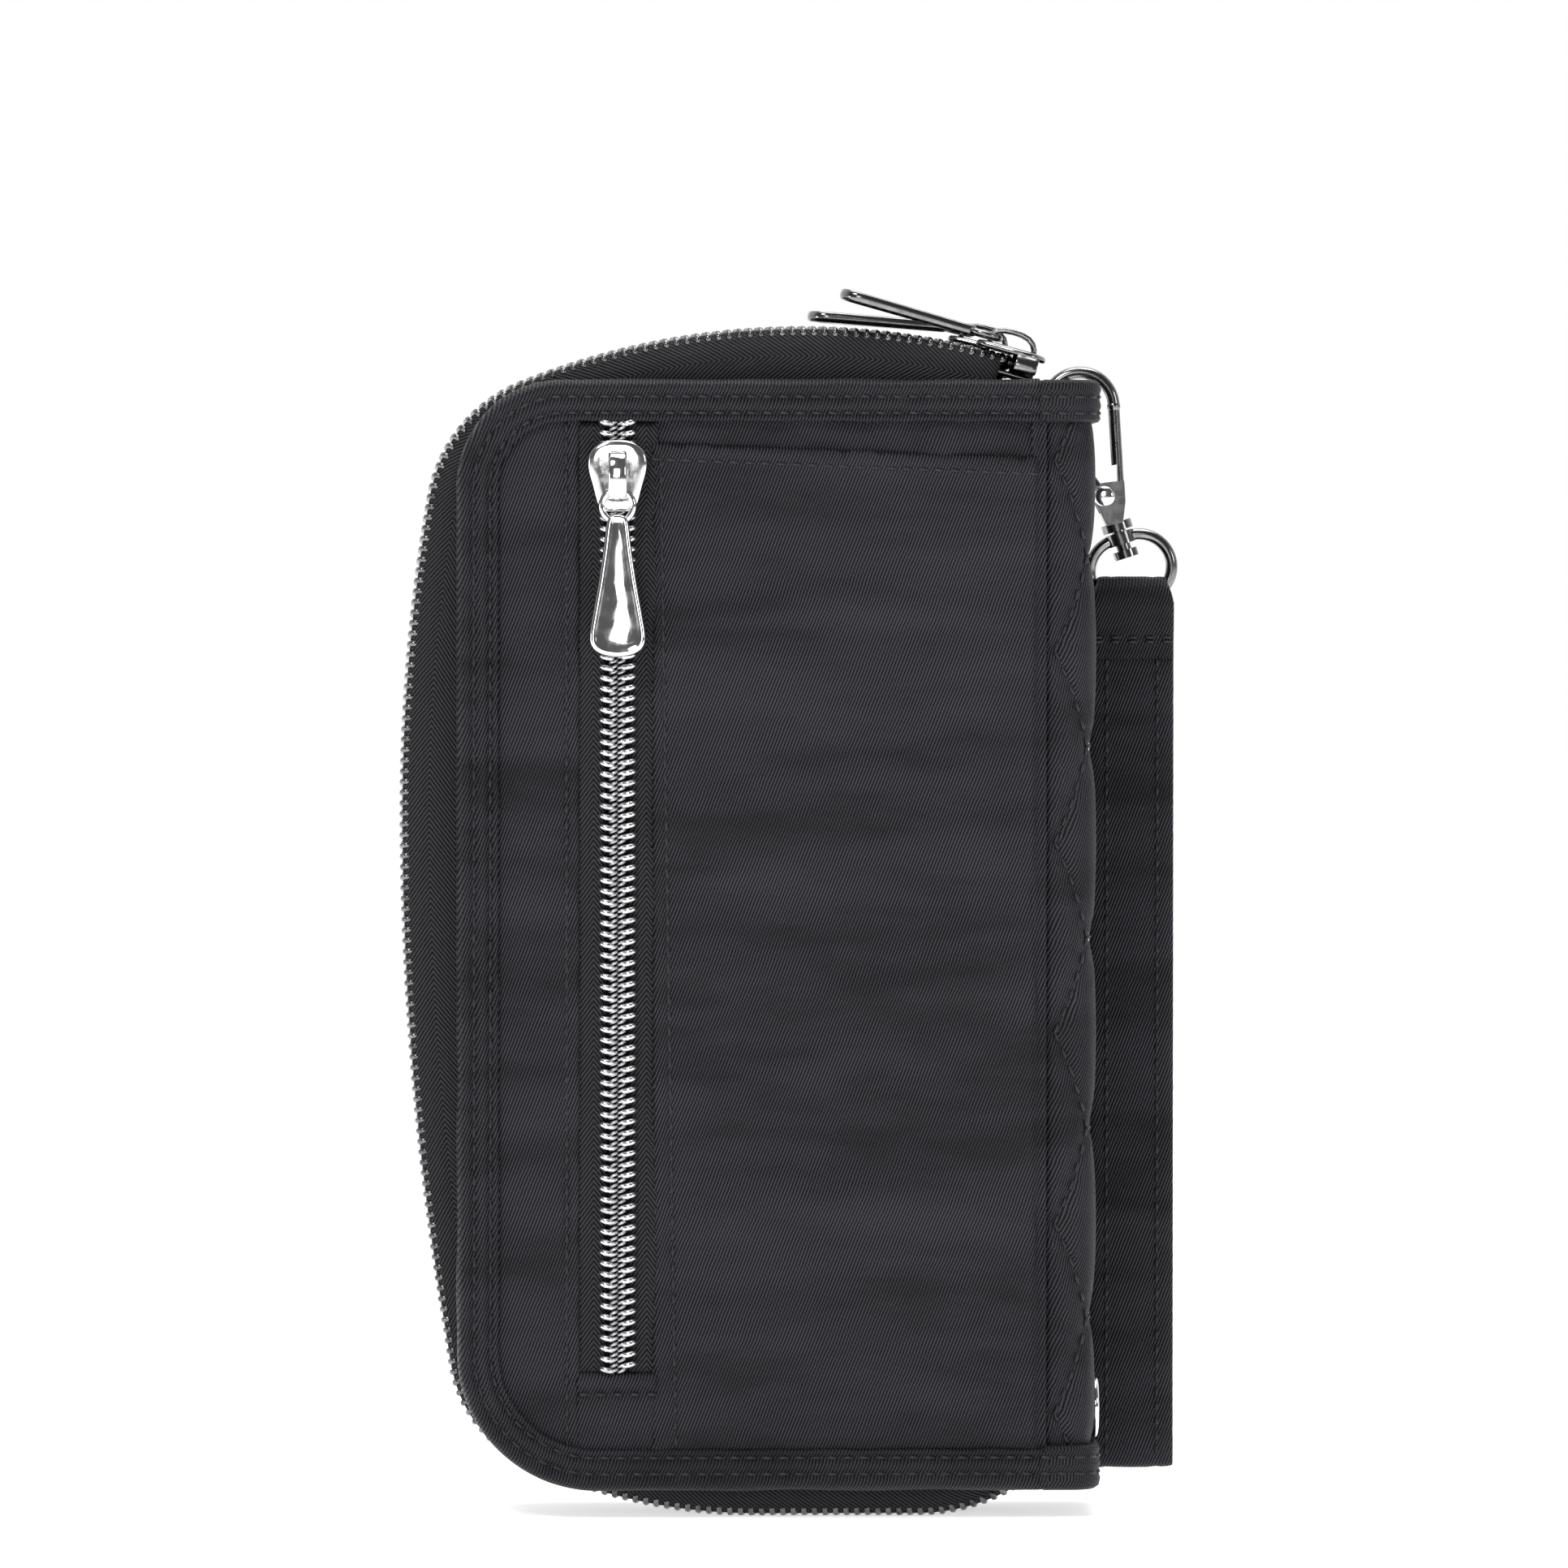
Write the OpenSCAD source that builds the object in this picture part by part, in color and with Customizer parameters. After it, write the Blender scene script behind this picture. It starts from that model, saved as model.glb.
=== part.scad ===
// Zip-around pouch with two compartments, a zip pocket and a slip pocket on its back,
// a quilted front and spine, and a wrist strap on a swivel hook.
// It stands on the bottom of its two zips. +Z is up, the plain back panel faces -Y and the
// spine is on the +X side. The origin is on the ground, midway between the two zips.

/* [Zip edge] */
// Radius of the long curve along the top of the zips, which their sliders follow
top_r = 120; // [112:1:124]
// Radius of the top corner of the zips
top_corner_r = 24; // [23:0.5:25]
// Radius of the bottom corner of the zips
bottom_corner_r = 21; // [20:0.5:22]
// Length of the flat stretch that the pouch stands on
foot_len = 26; // [22:1:30]
// Radial thickness of a row of zip teeth
row_t = 2; // [1.8:0.1:2.1]
// Width of one row of zip teeth
row_w = 2.5; // [2.3:0.1:2.6]
// Distance between the two zips' centre lines
zip_spacing = 12; // [12:0.1:12.6]

/* [Covers] */
// Total thickness over the bindings of both covers
cover_t = 30.4; // [30.4:0.1:31]
// Left edge of a cover
cover_x = -46.8; // [-47.2:0.1:-46.4]
// Bottom edge of a cover
cover_bottom = 4.6; // [4.4:0.1:5]
// Top edge of a cover
cover_top = 181; // [180:0.5:181.5]
// Radius of a cover's top corner
cover_top_r = 17; // [15:0.5:19]
// Radius of a cover's bottom corner
cover_bottom_r = 22; // [20:0.5:24]
// Width of the binding around a cover
binding_w = 6.5; // [5.5:0.1:7]

/* [Spine] */
// Outer face of the spine
spine_x = 55; // [54.6:0.1:55.2]
// Thickness of the spine's quilted wall
spine_wall = 1.2; // [1:0.1:1.6]

/* [Pocket zip] */
// Centre line of the pocket zip
pocket_x = -21.4; // [-22:0.1:-21]
// Lower end of the pocket zip's teeth
pocket_low = 23.3; // [22:0.1:26]
// Middle of the pocket zip's slider when the pocket is closed
pocket_slider_z = 165.8; // [164:0.1:166]

/* [Sliders and pullers] */
// Length of a slider's body
slider_len = 11.4; // [11:0.1:11.8]
// Width of a slider's body
slider_w = 9.4; // [9.2:0.1:9.4]
// Length of a puller
puller_len = 22.8; // [20:0.1:24]
// Width of a puller at its free end
puller_w = 9.1; // [8:0.1:10]
// Thickness of a puller
puller_t = 1.7; // [1.4:0.1:1.7]
// Diameter of the wire that links a puller to its slider
link_d = 1.1; // [1:0.05:1.2]

/* [Wrist strap] */
// Width of the strap
strap_w = 13.6; // [12:0.1:13.6]
// Lowest point of the strap
strap_low = 4.9; // [4:0.1:30]

/* [Hidden] */
$fn = 32;

// Layers, as distances from the mid plane y = 0
cover_face = cover_t / 2;
lip_t = 1.6;
backing_face = cover_face - lip_t;
fabric_t = 0.6;
board_face = backing_face - fabric_t;
board_t = 2.4;
lining_t = 0.4;
lining_face = board_face - board_t;
lining_back = lining_face - lining_t;
cover_back = lining_back - lining_t;
row_gap = 1;
zip_y = zip_spacing / 2;
tape_t = 0.8;
outer_row_y = zip_y + row_gap / 2;
inner_row_y = zip_y - row_gap / 2 - row_w;
outer_tape_y = outer_row_y + row_w;
inner_tape_y = inner_row_y - tape_t;
divider_t = 2;
card_t = 0.35;
skin_t = 0.8;

// The zip edge: runs of [radius, turn], clockwise from the left end of the flat. Radius 0 is a straight.
foot_x = 0.6;
edge_runs = [[87.5, 25], [bottom_corner_r, 56], [0, 10], [500, 9], [292, 10], [top_corner_r, 58], [top_r, 38]];
foot_runs = [[0, foot_len], [31, 31]];
fine_step = 2.5;
coarse_step = 6;

function unit(a) = [cos(a), sin(a)];
// Point after a clockwise turn t of radius r that starts at p with heading a
function turn_point(p, a, r, t) = p + r * (unit(a - 90) + unit(a + 90 - t));
function turn_steps(run) = ceil(run[1] / (run[0] > 60 ? fine_step : coarse_step));
// Points along the runs, inset by d
function walk(p, a, runs, d, i = 0) =
    i == len(runs) ? [p]
    : runs[i][0] == 0 ? concat([p], walk(p + runs[i][1] * unit(a), a, runs, d, i + 1))
    : let (r = runs[i][0] - d, steps = turn_steps(runs[i]))
        concat([for (s = [0 : steps - 1]) turn_point(p, a, r, runs[i][1] * s / steps)],
            walk(turn_point(p, a, r, runs[i][1]), a - runs[i][1], runs, d, i + 1));
function flipped_x(points) = [for (p = points) [2 * foot_x - p[0], p[1]]];
function reversed(points) = [for (i = [len(points) - 1 : -1 : 0]) points[i]];
function without_first(points) = [for (i = [1 : len(points) - 1]) points[i]];
// The flat and the curve to its right, inset by d, from its right end
function foot_edge(d) = reversed(flipped_x(walk([foot_x, d], 180, foot_runs, d)));
// The zip edge, inset by d, from its bottom right end clockwise to its top right end
function whole_edge(d) = concat(foot_edge(d), without_first(walk([foot_x, d], 180, edge_runs, d)));

// Middle of the top curve, where the sliders' hinge axes are, and the heading at its right end
function edge_end(d) = let (points = walk([foot_x, d], 180, edge_runs, d)) points[len(points) - 1];
end_angle = 16;
top_centre = edge_end(0) - top_r * unit(90 - end_angle);

// A cover's outline, inset by d
cover_right = 45.6;
cover_runs = [[cover_bottom_r, 90], [0, cover_top - cover_bottom - cover_bottom_r - cover_top_r], [cover_top_r, 90]];
function cover_edge(d) = concat([[cover_right, cover_bottom + d]],
    walk([cover_x + cover_bottom_r, cover_bottom + d], 180, cover_runs, d),
    [[cover_right, cover_top - d]]);

// Solid between y0 and y1, drawn in the X-Z plane
module slab(y0, y1) {
    rotate([90, 0, 0]) translate([0, 0, -y1]) linear_extrude(height = y1 - y0) children();
}

// Rectangle from [x0, z0] to [x1, z1]
module area(x0, z0, x1, z1) {
    translate([x0, z0]) square([x1 - x0, z1 - z0]);
}

// Puts a part drawn on the back (-Y) side on the front side instead
module on_front() {
    mirror([0, 1, 0]) children();
}

// Band along the zip edge between insets d0 and d1
module edge_band(d0, d1) {
    polygon(concat(whole_edge(d0), reversed(whole_edge(d1))));
}

// The same band, ending before the slider's closed place at the top and before the spine
cover_chain_end = 34;
module cover_band(d0, d1) {
    intersection() {
        edge_band(d0, d1);
        union() {
            area(-70, 90, cover_chain_end, 200);
            area(-70, -1, 42, 90);
        }
    }
}

module cover_area(d) {
    polygon(cover_edge(d));
}

// ---- Divider and spine ----
divider_inset = 6;
spine_inner_x = spine_x - spine_wall - skin_t;
spine_low = 11.5;
spine_high = 174.5;

module divider_area(d) {
    polygon(concat([[spine_inner_x, spine_low + 1]], [[46, edge_end_low(d)]], whole_edge(d),
        [[46, spine_high]], [[spine_inner_x, spine_high - 1]]));
}
function edge_end_low(d) = max(foot_edge(d)[0][1], spine_low);

module divider_board() {
    color("dimgray") slab(-divider_t / 2, divider_t / 2) divider_area(divider_inset);
}

// Folded strip that binds the divider's edge and carries the inner tapes of both zips
module divider_binding() {
    wrap_y = inner_tape_y;
    color("black") difference() {
        slab(-wrap_y, wrap_y) edge_band(divider_inset - 1.5, divider_inset + 4);
        slab(-divider_t / 2, divider_t / 2) divider_area(divider_inset);
    }
}

module inner_tape() {
    color("black") slab(-inner_row_y, -inner_tape_y) edge_band(1, 10);
}

module inner_teeth() {
    color("gray") slab(-inner_row_y - row_w, -inner_row_y) edge_band(0, row_t);
}

// Card pocket panel n of 3 on the back side of the divider, each lower and further out than the last
module card_panel(n) {
    card_high = 160 - 32 * (n - 1);
    y = -divider_t / 2 - card_t * n;
    color("slategray") slab(y, y + card_t) difference() {
        area(-37, 16, 45, card_high);
        edge_band(2, divider_inset + 4.2);
    }
}

// Plan of the spine's outer face, drawn in X-Y, shrunk by g
spine_half = 14.5;
spine_corner_r = 4.5;
spine_left = 46.2;
module spine_plan(g) {
    half = spine_half - g;
    right = spine_x - g;
    r = spine_corner_r - g;
    union() {
        translate([spine_left, -half]) square([right - r - spine_left, 2 * half]);
        translate([spine_left, -half + r]) square([right - spine_left, 2 * (half - r)]);
        for (s = [-1, 1]) {
            translate([right - r, s * (half - r)]) circle(r = r);
        }
    }
}

// Wall of the spine between shrinkages g0 and g1, from z0 to z1
module spine_shell(g0, g1, z0, z1) {
    translate([0, 0, z0]) linear_extrude(height = z1 - z0) difference() {
        spine_plan(g0);
        translate([-1, 0]) spine_plan(g1);
        spine_plan(g1);
    }
}

module spine_panel() {
    color("black") difference() {
        spine_shell(0, spine_wall, spine_low, spine_high);
        post_hole();
    }
}

module spine_lining() {
    color("dimgray") difference() {
        spine_shell(spine_wall, spine_wall + skin_t, spine_low, spine_high);
        post_hole();
    }
}

binding_proud = 0.3;
module spine_top_binding() {
    color("black") spine_shell(-binding_proud, spine_wall + skin_t, spine_high, cover_top);
}

module spine_bottom_binding() {
    color("black") spine_shell(-binding_proud, spine_wall + skin_t, cover_bottom, spine_low);
}

// ---- Badge on the spine ----
badge_seat = 0.7;
badge_at = [spine_x - badge_seat, -3, 17];
post_len = spine_wall + skin_t - badge_seat;
post_hole_d = 2.2;
// Hole for the badge's post, and the seat that the badge is pressed into
module post_hole() {
    translate(badge_at) rotate([0, -90, 0]) cylinder(d = post_hole_d, h = 8);
    translate(badge_at) rotate([0, 90, 0]) cylinder(d = 10.1, h = 2);
}

module badge() {
    color("silver") translate(badge_at) rotate([0, 90, 0]) cylinder(d = 10, h = 0.9);
}

module badge_post() {
    color("silver") translate(badge_at) {
        rotate([0, -90, 0]) cylinder(d = 2, h = post_len);
        translate([-post_len, 0, 0]) rotate([0, -90, 0]) cylinder(d = 3.6, h = 0.5);
    }
}

// ---- Back cover ----
// Binding folded over the edges of a cover, with the layers between its lips
module cover_binding() {
    color("black") difference() {
        slab(-cover_face, -cover_back) difference() {
            cover_area(0);
            cover_area(binding_w);
        }
        slab(-backing_face, -lining_back) cover_area(0.8);
    }
}

slot_half = 3.4;
module slider_slot(y0, y1) {
    slab(y0, y1) area(pocket_x - slot_half, pocket_low, pocket_x + slot_half, 174.5);
}

bag_t = 0.5;
bag_y = lining_face + 0.8;
module back_board() {
    color("gray") difference() {
        slab(-board_face, -lining_face) cover_area(0.8);
        slab(-board_face - 1, -bag_y) area(-38, 18, -4, 174.5);
    }
}

module back_lining() {
    color("dimgray") slab(-lining_face, -lining_back) cover_area(0.8);
}

module outer_tape() {
    color("black") slab(-outer_tape_y - tape_t, -outer_tape_y) cover_band(1, 13);
}

module outer_teeth() {
    color("gray") slab(-outer_tape_y, -outer_row_y) cover_band(0, row_t);
}

module pocket_backing() {
    color("black") difference() {
        slab(-backing_face, -board_face) cover_area(0.8);
        slider_slot(-backing_face - 1, -board_face + 1);
    }
}

pocket_panel_x = -15.6;
hem_z = 170;
module on_panel(y_out) {
    slab(-y_out, -backing_face) intersection() {
        cover_area(binding_w);
        children();
    }
}

module slip_pocket() {
    color("black") on_panel(backing_face + 0.8) area(pocket_panel_x, 0, cover_right, hem_z);
}

strip_x = -27.2;
module pocket_side_strip() {
    color("black") on_panel(backing_face + 0.8) area(-60, 0, strip_x, 200);
}

module pocket_tape(x0, x1) {
    color("black") slab(-backing_face - fabric_t, -backing_face) area(x0, pocket_low, x1, 174.3);
}

teeth_face = 15.6;
module pocket_teeth(x0) {
    color("silver") slab(-teeth_face, -backing_face) area(x0, pocket_low, x0 + row_w, 172.6);
}

module pocket_top_stop() {
    color("silver") for (s = [-1, 1]) {
        translate([pocket_x + s * (row_gap + row_w) / 2, 0, 0])
            slab(-teeth_face, -backing_face) area(-row_w / 2, 172.8, row_w / 2, 174.2);
    }
}

module pocket_end_patch() {
    color("black") on_panel(backing_face + 0.9) area(strip_x, 0, pocket_panel_x, pocket_low);
}

module pocket_bag() {
    color("dimgray") slab(-bag_y - bag_t, -bag_y) area(-37, 19, -5, 173.5);
}

// ---- Front cover, drawn on the back side and mirrored ----
module front_board() {
    color("gray") slab(-board_face, -lining_face) cover_area(0.8);
}

module front_foam() {
    color("white") slab(-backing_face, -board_face) cover_area(0.8);
}

module front_quilt() {
    color("black") on_panel(cover_face - 0.4) area(-60, 0, cover_right, 200);
}

// ---- Sliders, links and pullers: x is towards the joined teeth, z is outwards ----
plate_t = 1.1;
plate_gap = 0.35;
plate_top = plate_gap + plate_t;
under_gap = row_t + 0.35;
under_t = 0.95;
web_t = 0.4;
bridge_w = 2.8;
pin_u = 2.3;
pin_w = plate_top + 0.3 + link_d / 2;
link_len = 5;
link_half = 2.5;
knuckle_d = 2.6;
knuckle_w = 3.3;
bore_clearance = 0.1;

// Outline of a slider's upper plate: wide where the rows part, narrow where they join
module slider_outline() {
    half = slider_len / 2;
    wide = slider_w / 2;
    polygon([[-half, 3], [-half + 1, wide], [-1, wide], [half - 1.2, 3.8], [half, 2.8],
        [half, -2.8], [half - 1.2, -3.8], [-1, -wide], [-half + 1, -wide], [-half, -3]]);
}

// Side view of the bridge that holds the link
module bridge_outline() {
    difference() {
        polygon([[-3.85, plate_top - 0.2], [-3.4, 3], [-2.2, 4.1], [0.4, 4.4], [2.8, 4.1], [3.7, 3.3],
            [4, plate_top - 0.2]]);
        polygon([[-2.7, plate_top], [-2.3, 2.6], [-1.6, 3.15], [3.1, 3.15], [3.2, plate_top]]);
    }
}

// side_flanges is true on a zip whose tapes stand on edge
module slider_shape(side_flanges) {
    color("silver") {
        translate([0, 0, plate_gap]) linear_extrude(height = plate_t) slider_outline();
        translate([-4.5, -web_t / 2, -under_gap - 0.1]) cube([4, web_t, under_gap + plate_gap + 0.2]);
        translate([-5.2, -2.5, -under_gap - under_t]) cube([10.4, 5, under_t]);
        rotate([90, 0, 0]) translate([0, 0, -bridge_w / 2]) linear_extrude(height = bridge_w) bridge_outline();
        if (side_flanges) {
            for (s = [-1, 1]) {
                translate([-4.6, s * (slider_w / 2 - 0.3) - 0.3, -row_t]) cube([3.6, 0.6, row_t + plate_top]);
            }
        }
    }
}

// Rectangle of round wire that joins a slider's bridge to its puller
module link_shape() {
    color("silver") for (u = [pin_u, pin_u + link_len]) {
        translate([u, 0, pin_w]) rotate([90, 0, 0]) cylinder(d = link_d, h = 2 * link_half, center = true);
        for (s = [-1, 1]) {
            translate([u, s * link_half, pin_w]) sphere(d = link_d);
            translate([pin_u, s * link_half, pin_w]) rotate([0, 90, 0]) cylinder(d = link_d, h = link_len);
        }
    }
}

module puller_outline() {
    start = pin_u + link_len + 0.6;
    end = pin_u + link_len - knuckle_d / 2 + puller_len;
    half = puller_w / 2;
    polygon([[start, 1.5], [end - 2.6, half], [end - 0.8, half - 0.7], [end, half - 2.4],
        [end, 2.4 - half], [end - 0.8, 0.7 - half], [end - 2.6, -half], [start, -1.5]]);
}

// droop is how far the puller hangs from the line of its link, in degrees
module puller_shape(droop) {
    eye = pin_u + link_len;
    color("silver") translate([eye, 0, pin_w]) rotate([0, droop, 0]) translate([-eye, 0, -pin_w])
        difference() {
            union() {
                translate([eye, 0, pin_w]) rotate([90, 0, 0]) cylinder(d = knuckle_d, h = knuckle_w, center = true);
                translate([0, 0, pin_w - puller_t / 2]) linear_extrude(height = puller_t) puller_outline();
            }
            translate([eye, 0, pin_w]) rotate([90, 0, 0])
                cylinder(d = link_d + bore_clearance, h = knuckle_w + 1, center = true);
        }
}

// Places a slider, link or puller on the pocket zip, on the back zip or on the front zip
module at_pocket() {
    translate([pocket_x, -teeth_face, pocket_slider_z]) rotate([0, 90, 0]) rotate([90, 0, 0]) children();
}

module at_edge(y, angle) {
    translate([top_centre[0], y, top_centre[1]]) rotate([0, angle, 0]) translate([0, 0, top_r])
        rotate([0, 0, 180]) children();
}

back_slider_angle = 16;
front_slider_angle = 14;
front_droop = 9.5;

// ---- Ring, hook and strap ----
tab_at = [52, 16.2];
ring_wire = 1.6;
ring_low = 166.9;
ring_high = 180.1;
ring_mid = (ring_low + ring_high) / 2;
ring_r = (ring_high - ring_low) / 2;
ring_reach = 3.1;
hook_y = 19.3;

// Webbing tab sewn to the front of the spine, folded round the straight side of the ring
module ring_tab() {
    color("black") difference() {
        union() {
            translate([46.4, spine_half, ring_low + 1.5]) cube([6.4, 0.8, 2 * ring_r - 3]);
            translate([tab_at[0], tab_at[1], ring_low + 1.5]) cylinder(d = 3.2, h = 2 * ring_r - 3);
        }
        translate([tab_at[0], tab_at[1], ring_low]) cylinder(d = ring_wire + bore_clearance, h = 2 * ring_r);
        translate([0, 0, spine_high]) linear_extrude(height = 10) spine_plan(-binding_proud);
    }
}

// D-shaped ring in the Y-Z plane: a straight side in the tab, two short arms and a half circle
module d_ring() {
    bow_y = tab_at[1] + ring_reach;
    color("gray") translate([tab_at[0], 0, 0]) {
        translate([0, tab_at[1], ring_low]) cylinder(d = ring_wire, h = 2 * ring_r);
        for (z = [ring_low, ring_high]) {
            translate([0, tab_at[1], z]) sphere(d = ring_wire);
            translate([0, tab_at[1], z]) rotate([-90, 0, 0]) cylinder(d = ring_wire, h = ring_reach);
        }
        intersection() {
            translate([0, bow_y, ring_mid]) rotate([0, 90, 0]) rotate_extrude() translate([ring_r, 0])
                circle(d = ring_wire);
            translate([-5, bow_y, ring_low - 5]) cube([10, 20, 2 * ring_r + 10]);
        }
    }
}

hook_wire = 2;
joint_d = 2.2;
leg_d = 1.9;
bend_r = 5.5;
bend_at = [53.7, 177.4];
rivet_at = [57.6, 162.8];
cheek_gap = 3.2;
cheek_t = 0.9;
rivet_d = 1.5;
axis_lean = 18;
post_at = [59.6, 158.4];
post_d = 2.4;
nose_drop = 12;

// A round bar between two places in the X-Z plane, at the hook's mid plane
module bar(a, b, d) {
    step = b - a;
    translate([a[0], hook_y, a[1]]) rotate([0, atan2(step[0], step[1]), 0]) cylinder(d = d, h = norm(step));
}

module ball(a, d) {
    translate([a[0], hook_y, a[1]]) sphere(d = d);
}

// Frame of the hook's swivel: z runs up the post's axis from the middle of its flange
module at_post() {
    translate([post_at[0], hook_y, post_at[1]]) rotate([0, -axis_lean, 0]) children();
}

module hook() {
    leg_top = [bend_at[0] + bend_r, bend_at[1]];
    leg_low = [60, 164];
    nose = bend_at + bend_r * unit(180 + nose_drop);
    color("gray") {
        difference() {
            union() {
                translate([bend_at[0], hook_y, bend_at[1]]) rotate([90, 0, 0])
                    rotate_extrude(angle = 180 + nose_drop) translate([bend_r, 0]) circle(d = hook_wire);
                ball(nose, joint_d);
                ball(leg_top, joint_d);
                bar(leg_top, leg_low, leg_d);
                slab(hook_y - cheek_gap / 2 - cheek_t, hook_y + cheek_gap / 2 + cheek_t)
                    polygon([[56, 163.8], [57.2, 165], [60.8, 165.4], [61, 162], [60.6, 158.6], [58, 158],
                        [56.2, 161.6]]);
            }
            slab(hook_y - cheek_gap / 2, hook_y + cheek_gap / 2)
                polygon([[50, 166], [59.7, 168], [59.9, 161], [55, 159.4]]);
            translate([rivet_at[0], hook_y, rivet_at[1]]) rotate([90, 0, 0])
                cylinder(d = rivet_d + 0.04, h = 10, center = true);
        }
        at_post() {
            translate([0, 0, -1.2]) cylinder(d = 5, h = 1.4);
            translate([0, 0, -4.6]) cylinder(d = post_d, h = 3.6);
            translate([0, 0, -5.8]) cylinder(d = 4, h = 1.3);
        }
    }
}

gate_tip = [49.3, 174.15];
module gate() {
    color("gray") difference() {
        union() {
            bar(rivet_at, gate_tip, 1.7);
            ball(gate_tip, 1.7);
            translate([rivet_at[0], hook_y + 1.3, rivet_at[1]]) rotate([90, 0, 0]) cylinder(d = 3.2, h = 1.9);
        }
        translate([rivet_at[0], hook_y, rivet_at[1]]) rotate([90, 0, 0])
            cylinder(d = rivet_d + bore_clearance, h = 10, center = true);
        translate([rivet_at[0], hook_y - 0.6, rivet_at[1]]) rotate([90, 0, 0]) cylinder(d = 4, h = 3);
    }
}

module gate_rivet() {
    reach = cheek_gap / 2 + cheek_t;
    color("silver") translate([rivet_at[0], hook_y, rivet_at[1]]) rotate([90, 0, 0]) {
        cylinder(d = rivet_d, h = 2 * reach, center = true);
        for (s = [-1, 1]) {
            translate([0, 0, s * (reach + 0.3)]) cylinder(d = 3.4, h = 0.6, center = true);
        }
    }
}

// Small coil that pushes the gate shut, on the rivet beside the gate's knuckle
module gate_spring() {
    spring_wire = 0.45;
    spring_pitch = 0.3;
    color("silver") translate([rivet_at[0], hook_y - 1.3, rivet_at[1]]) rotate([90, 0, 0])
        for (i = [0 : 1]) {
            translate([0, 0, -i * spring_pitch]) rotate_extrude() translate([1.15, 0]) circle(d = spring_wire);
        }
}

swivel_wire = 1.9;
swivel_half_w = 6.7;
swivel_r = 5.3;
swivel_mid = -7.8;
// Ring that turns on the hook's post, in the hook's plane, with a boss at its top
module swivel_ring() {
    flat = swivel_half_w - swivel_r;
    color("gray") difference() {
        at_post() union() {
            for (s = [-1, 1]) {
                intersection() {
                    translate([s * flat, 0, swivel_mid]) rotate([90, 0, 0]) rotate_extrude()
                        translate([swivel_r, 0]) circle(d = swivel_wire);
                    translate([s > 0 ? flat : -flat - 20, -5, swivel_mid - 20]) cube([20, 10, 40]);
                }
            }
            for (z = [swivel_mid - swivel_r, swivel_mid + swivel_r]) {
                translate([-flat, 0, z]) rotate([0, 90, 0]) cylinder(d = swivel_wire, h = 2 * flat);
            }
            translate([0, 0, swivel_mid + swivel_r - 1]) cylinder(d = 4.4, h = 2);
        }
        at_post() translate([0, 0, -6]) cylinder(d = post_d + bore_clearance, h = 6);
        at_post() translate([0, 0, -6.2]) cylinder(d = 4.6, h = 2.65);
    }
}

// Lowest point of the swivel ring, which the strap hangs from
ring_foot = post_at + (swivel_mid - swivel_r) * [-sin(axis_lean), cos(axis_lean)];
ply_t = 1.2;
fold_r = 3;
// Side view of a narrow loop: round over the wire with radius r, then pinched to half width h above z
function loop_outline(r, h, low) = concat(
    [for (a = [0 : 15 : 180]) [0, ring_foot[1]] + r * unit(a)],
    [[-h, ring_foot[1] - pinch], [-h, low], [h, low], [h, ring_foot[1] - pinch]]);
pinch = 11;
ply_gap = 0.2;
strap_x = 55.3;
neck_w = 6.4;
neck_low = 135;

// Flat loop of webbing: two plies that part only round the ring's wire, gathered there to a narrow neck
module wrist_strap() {
    color("black") intersection() {
        translate([strap_x, hook_y, 0]) rotate([90, 0, 90]) linear_extrude(height = strap_w) difference() {
            polygon(loop_outline(fold_r + ply_t, ply_gap + ply_t, strap_low));
            polygon(loop_outline(fold_r, ply_gap, strap_low + ply_t));
        }
        slab(hook_y - 10, hook_y + 10) union() {
            area(strap_x, 0, strap_x + strap_w, neck_low);
            area(ring_foot[0] - neck_w / 2, 0, ring_foot[0] + neck_w / 2, 160);
        }
    }
}

divider_board();
divider_binding();
inner_tape();  // divider_tape_back
on_front() inner_tape();  // divider_tape_front
inner_teeth();  // divider_teeth_back
on_front() inner_teeth();  // divider_teeth_front
card_panel(1);  // card_panel_back_1
card_panel(2);  // card_panel_back_2
card_panel(3);  // card_panel_back_3
on_front() card_panel(1);  // card_panel_front_1
on_front() card_panel(2);  // card_panel_front_2
on_front() card_panel(3);  // card_panel_front_3
spine_panel();
spine_lining();
spine_top_binding();
spine_bottom_binding();
ring_tab();
badge();
badge_post();
back_board();
back_lining();
cover_binding();  // back_binding
outer_tape();  // back_chain_tape
outer_teeth();  // back_chain_teeth
pocket_backing();
slip_pocket();
pocket_side_strip();
pocket_tape(strip_x, pocket_x - row_gap / 2 - row_w);  // pocket_tape_left
pocket_tape(pocket_x + row_gap / 2 + row_w, pocket_panel_x);  // pocket_tape_right
pocket_teeth(pocket_x - row_gap / 2 - row_w);  // pocket_teeth_left
pocket_teeth(pocket_x + row_gap / 2);  // pocket_teeth_right
pocket_top_stop();
pocket_end_patch();
pocket_bag();
on_front() front_board();
on_front() front_foam();
on_front() front_quilt();
on_front() back_lining();  // front_lining
on_front() cover_binding();  // front_binding
on_front() outer_tape();  // front_chain_tape
on_front() outer_teeth();  // front_chain_teeth
at_pocket() slider_shape(false);  // pocket_slider
at_pocket() link_shape();  // pocket_link
at_pocket() puller_shape(0);  // pocket_puller
at_edge(-zip_y, back_slider_angle) slider_shape(true);  // back_slider
at_edge(-zip_y, back_slider_angle) link_shape();  // back_link
at_edge(-zip_y, back_slider_angle) puller_shape(0);  // back_puller
at_edge(zip_y, front_slider_angle) slider_shape(true);  // front_slider
at_edge(zip_y, front_slider_angle) link_shape();  // front_link
at_edge(zip_y, front_slider_angle) puller_shape(front_droop);  // front_puller
d_ring();
hook();
gate();
gate_rivet();
gate_spring();
swivel_ring();
wrist_strap();
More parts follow.
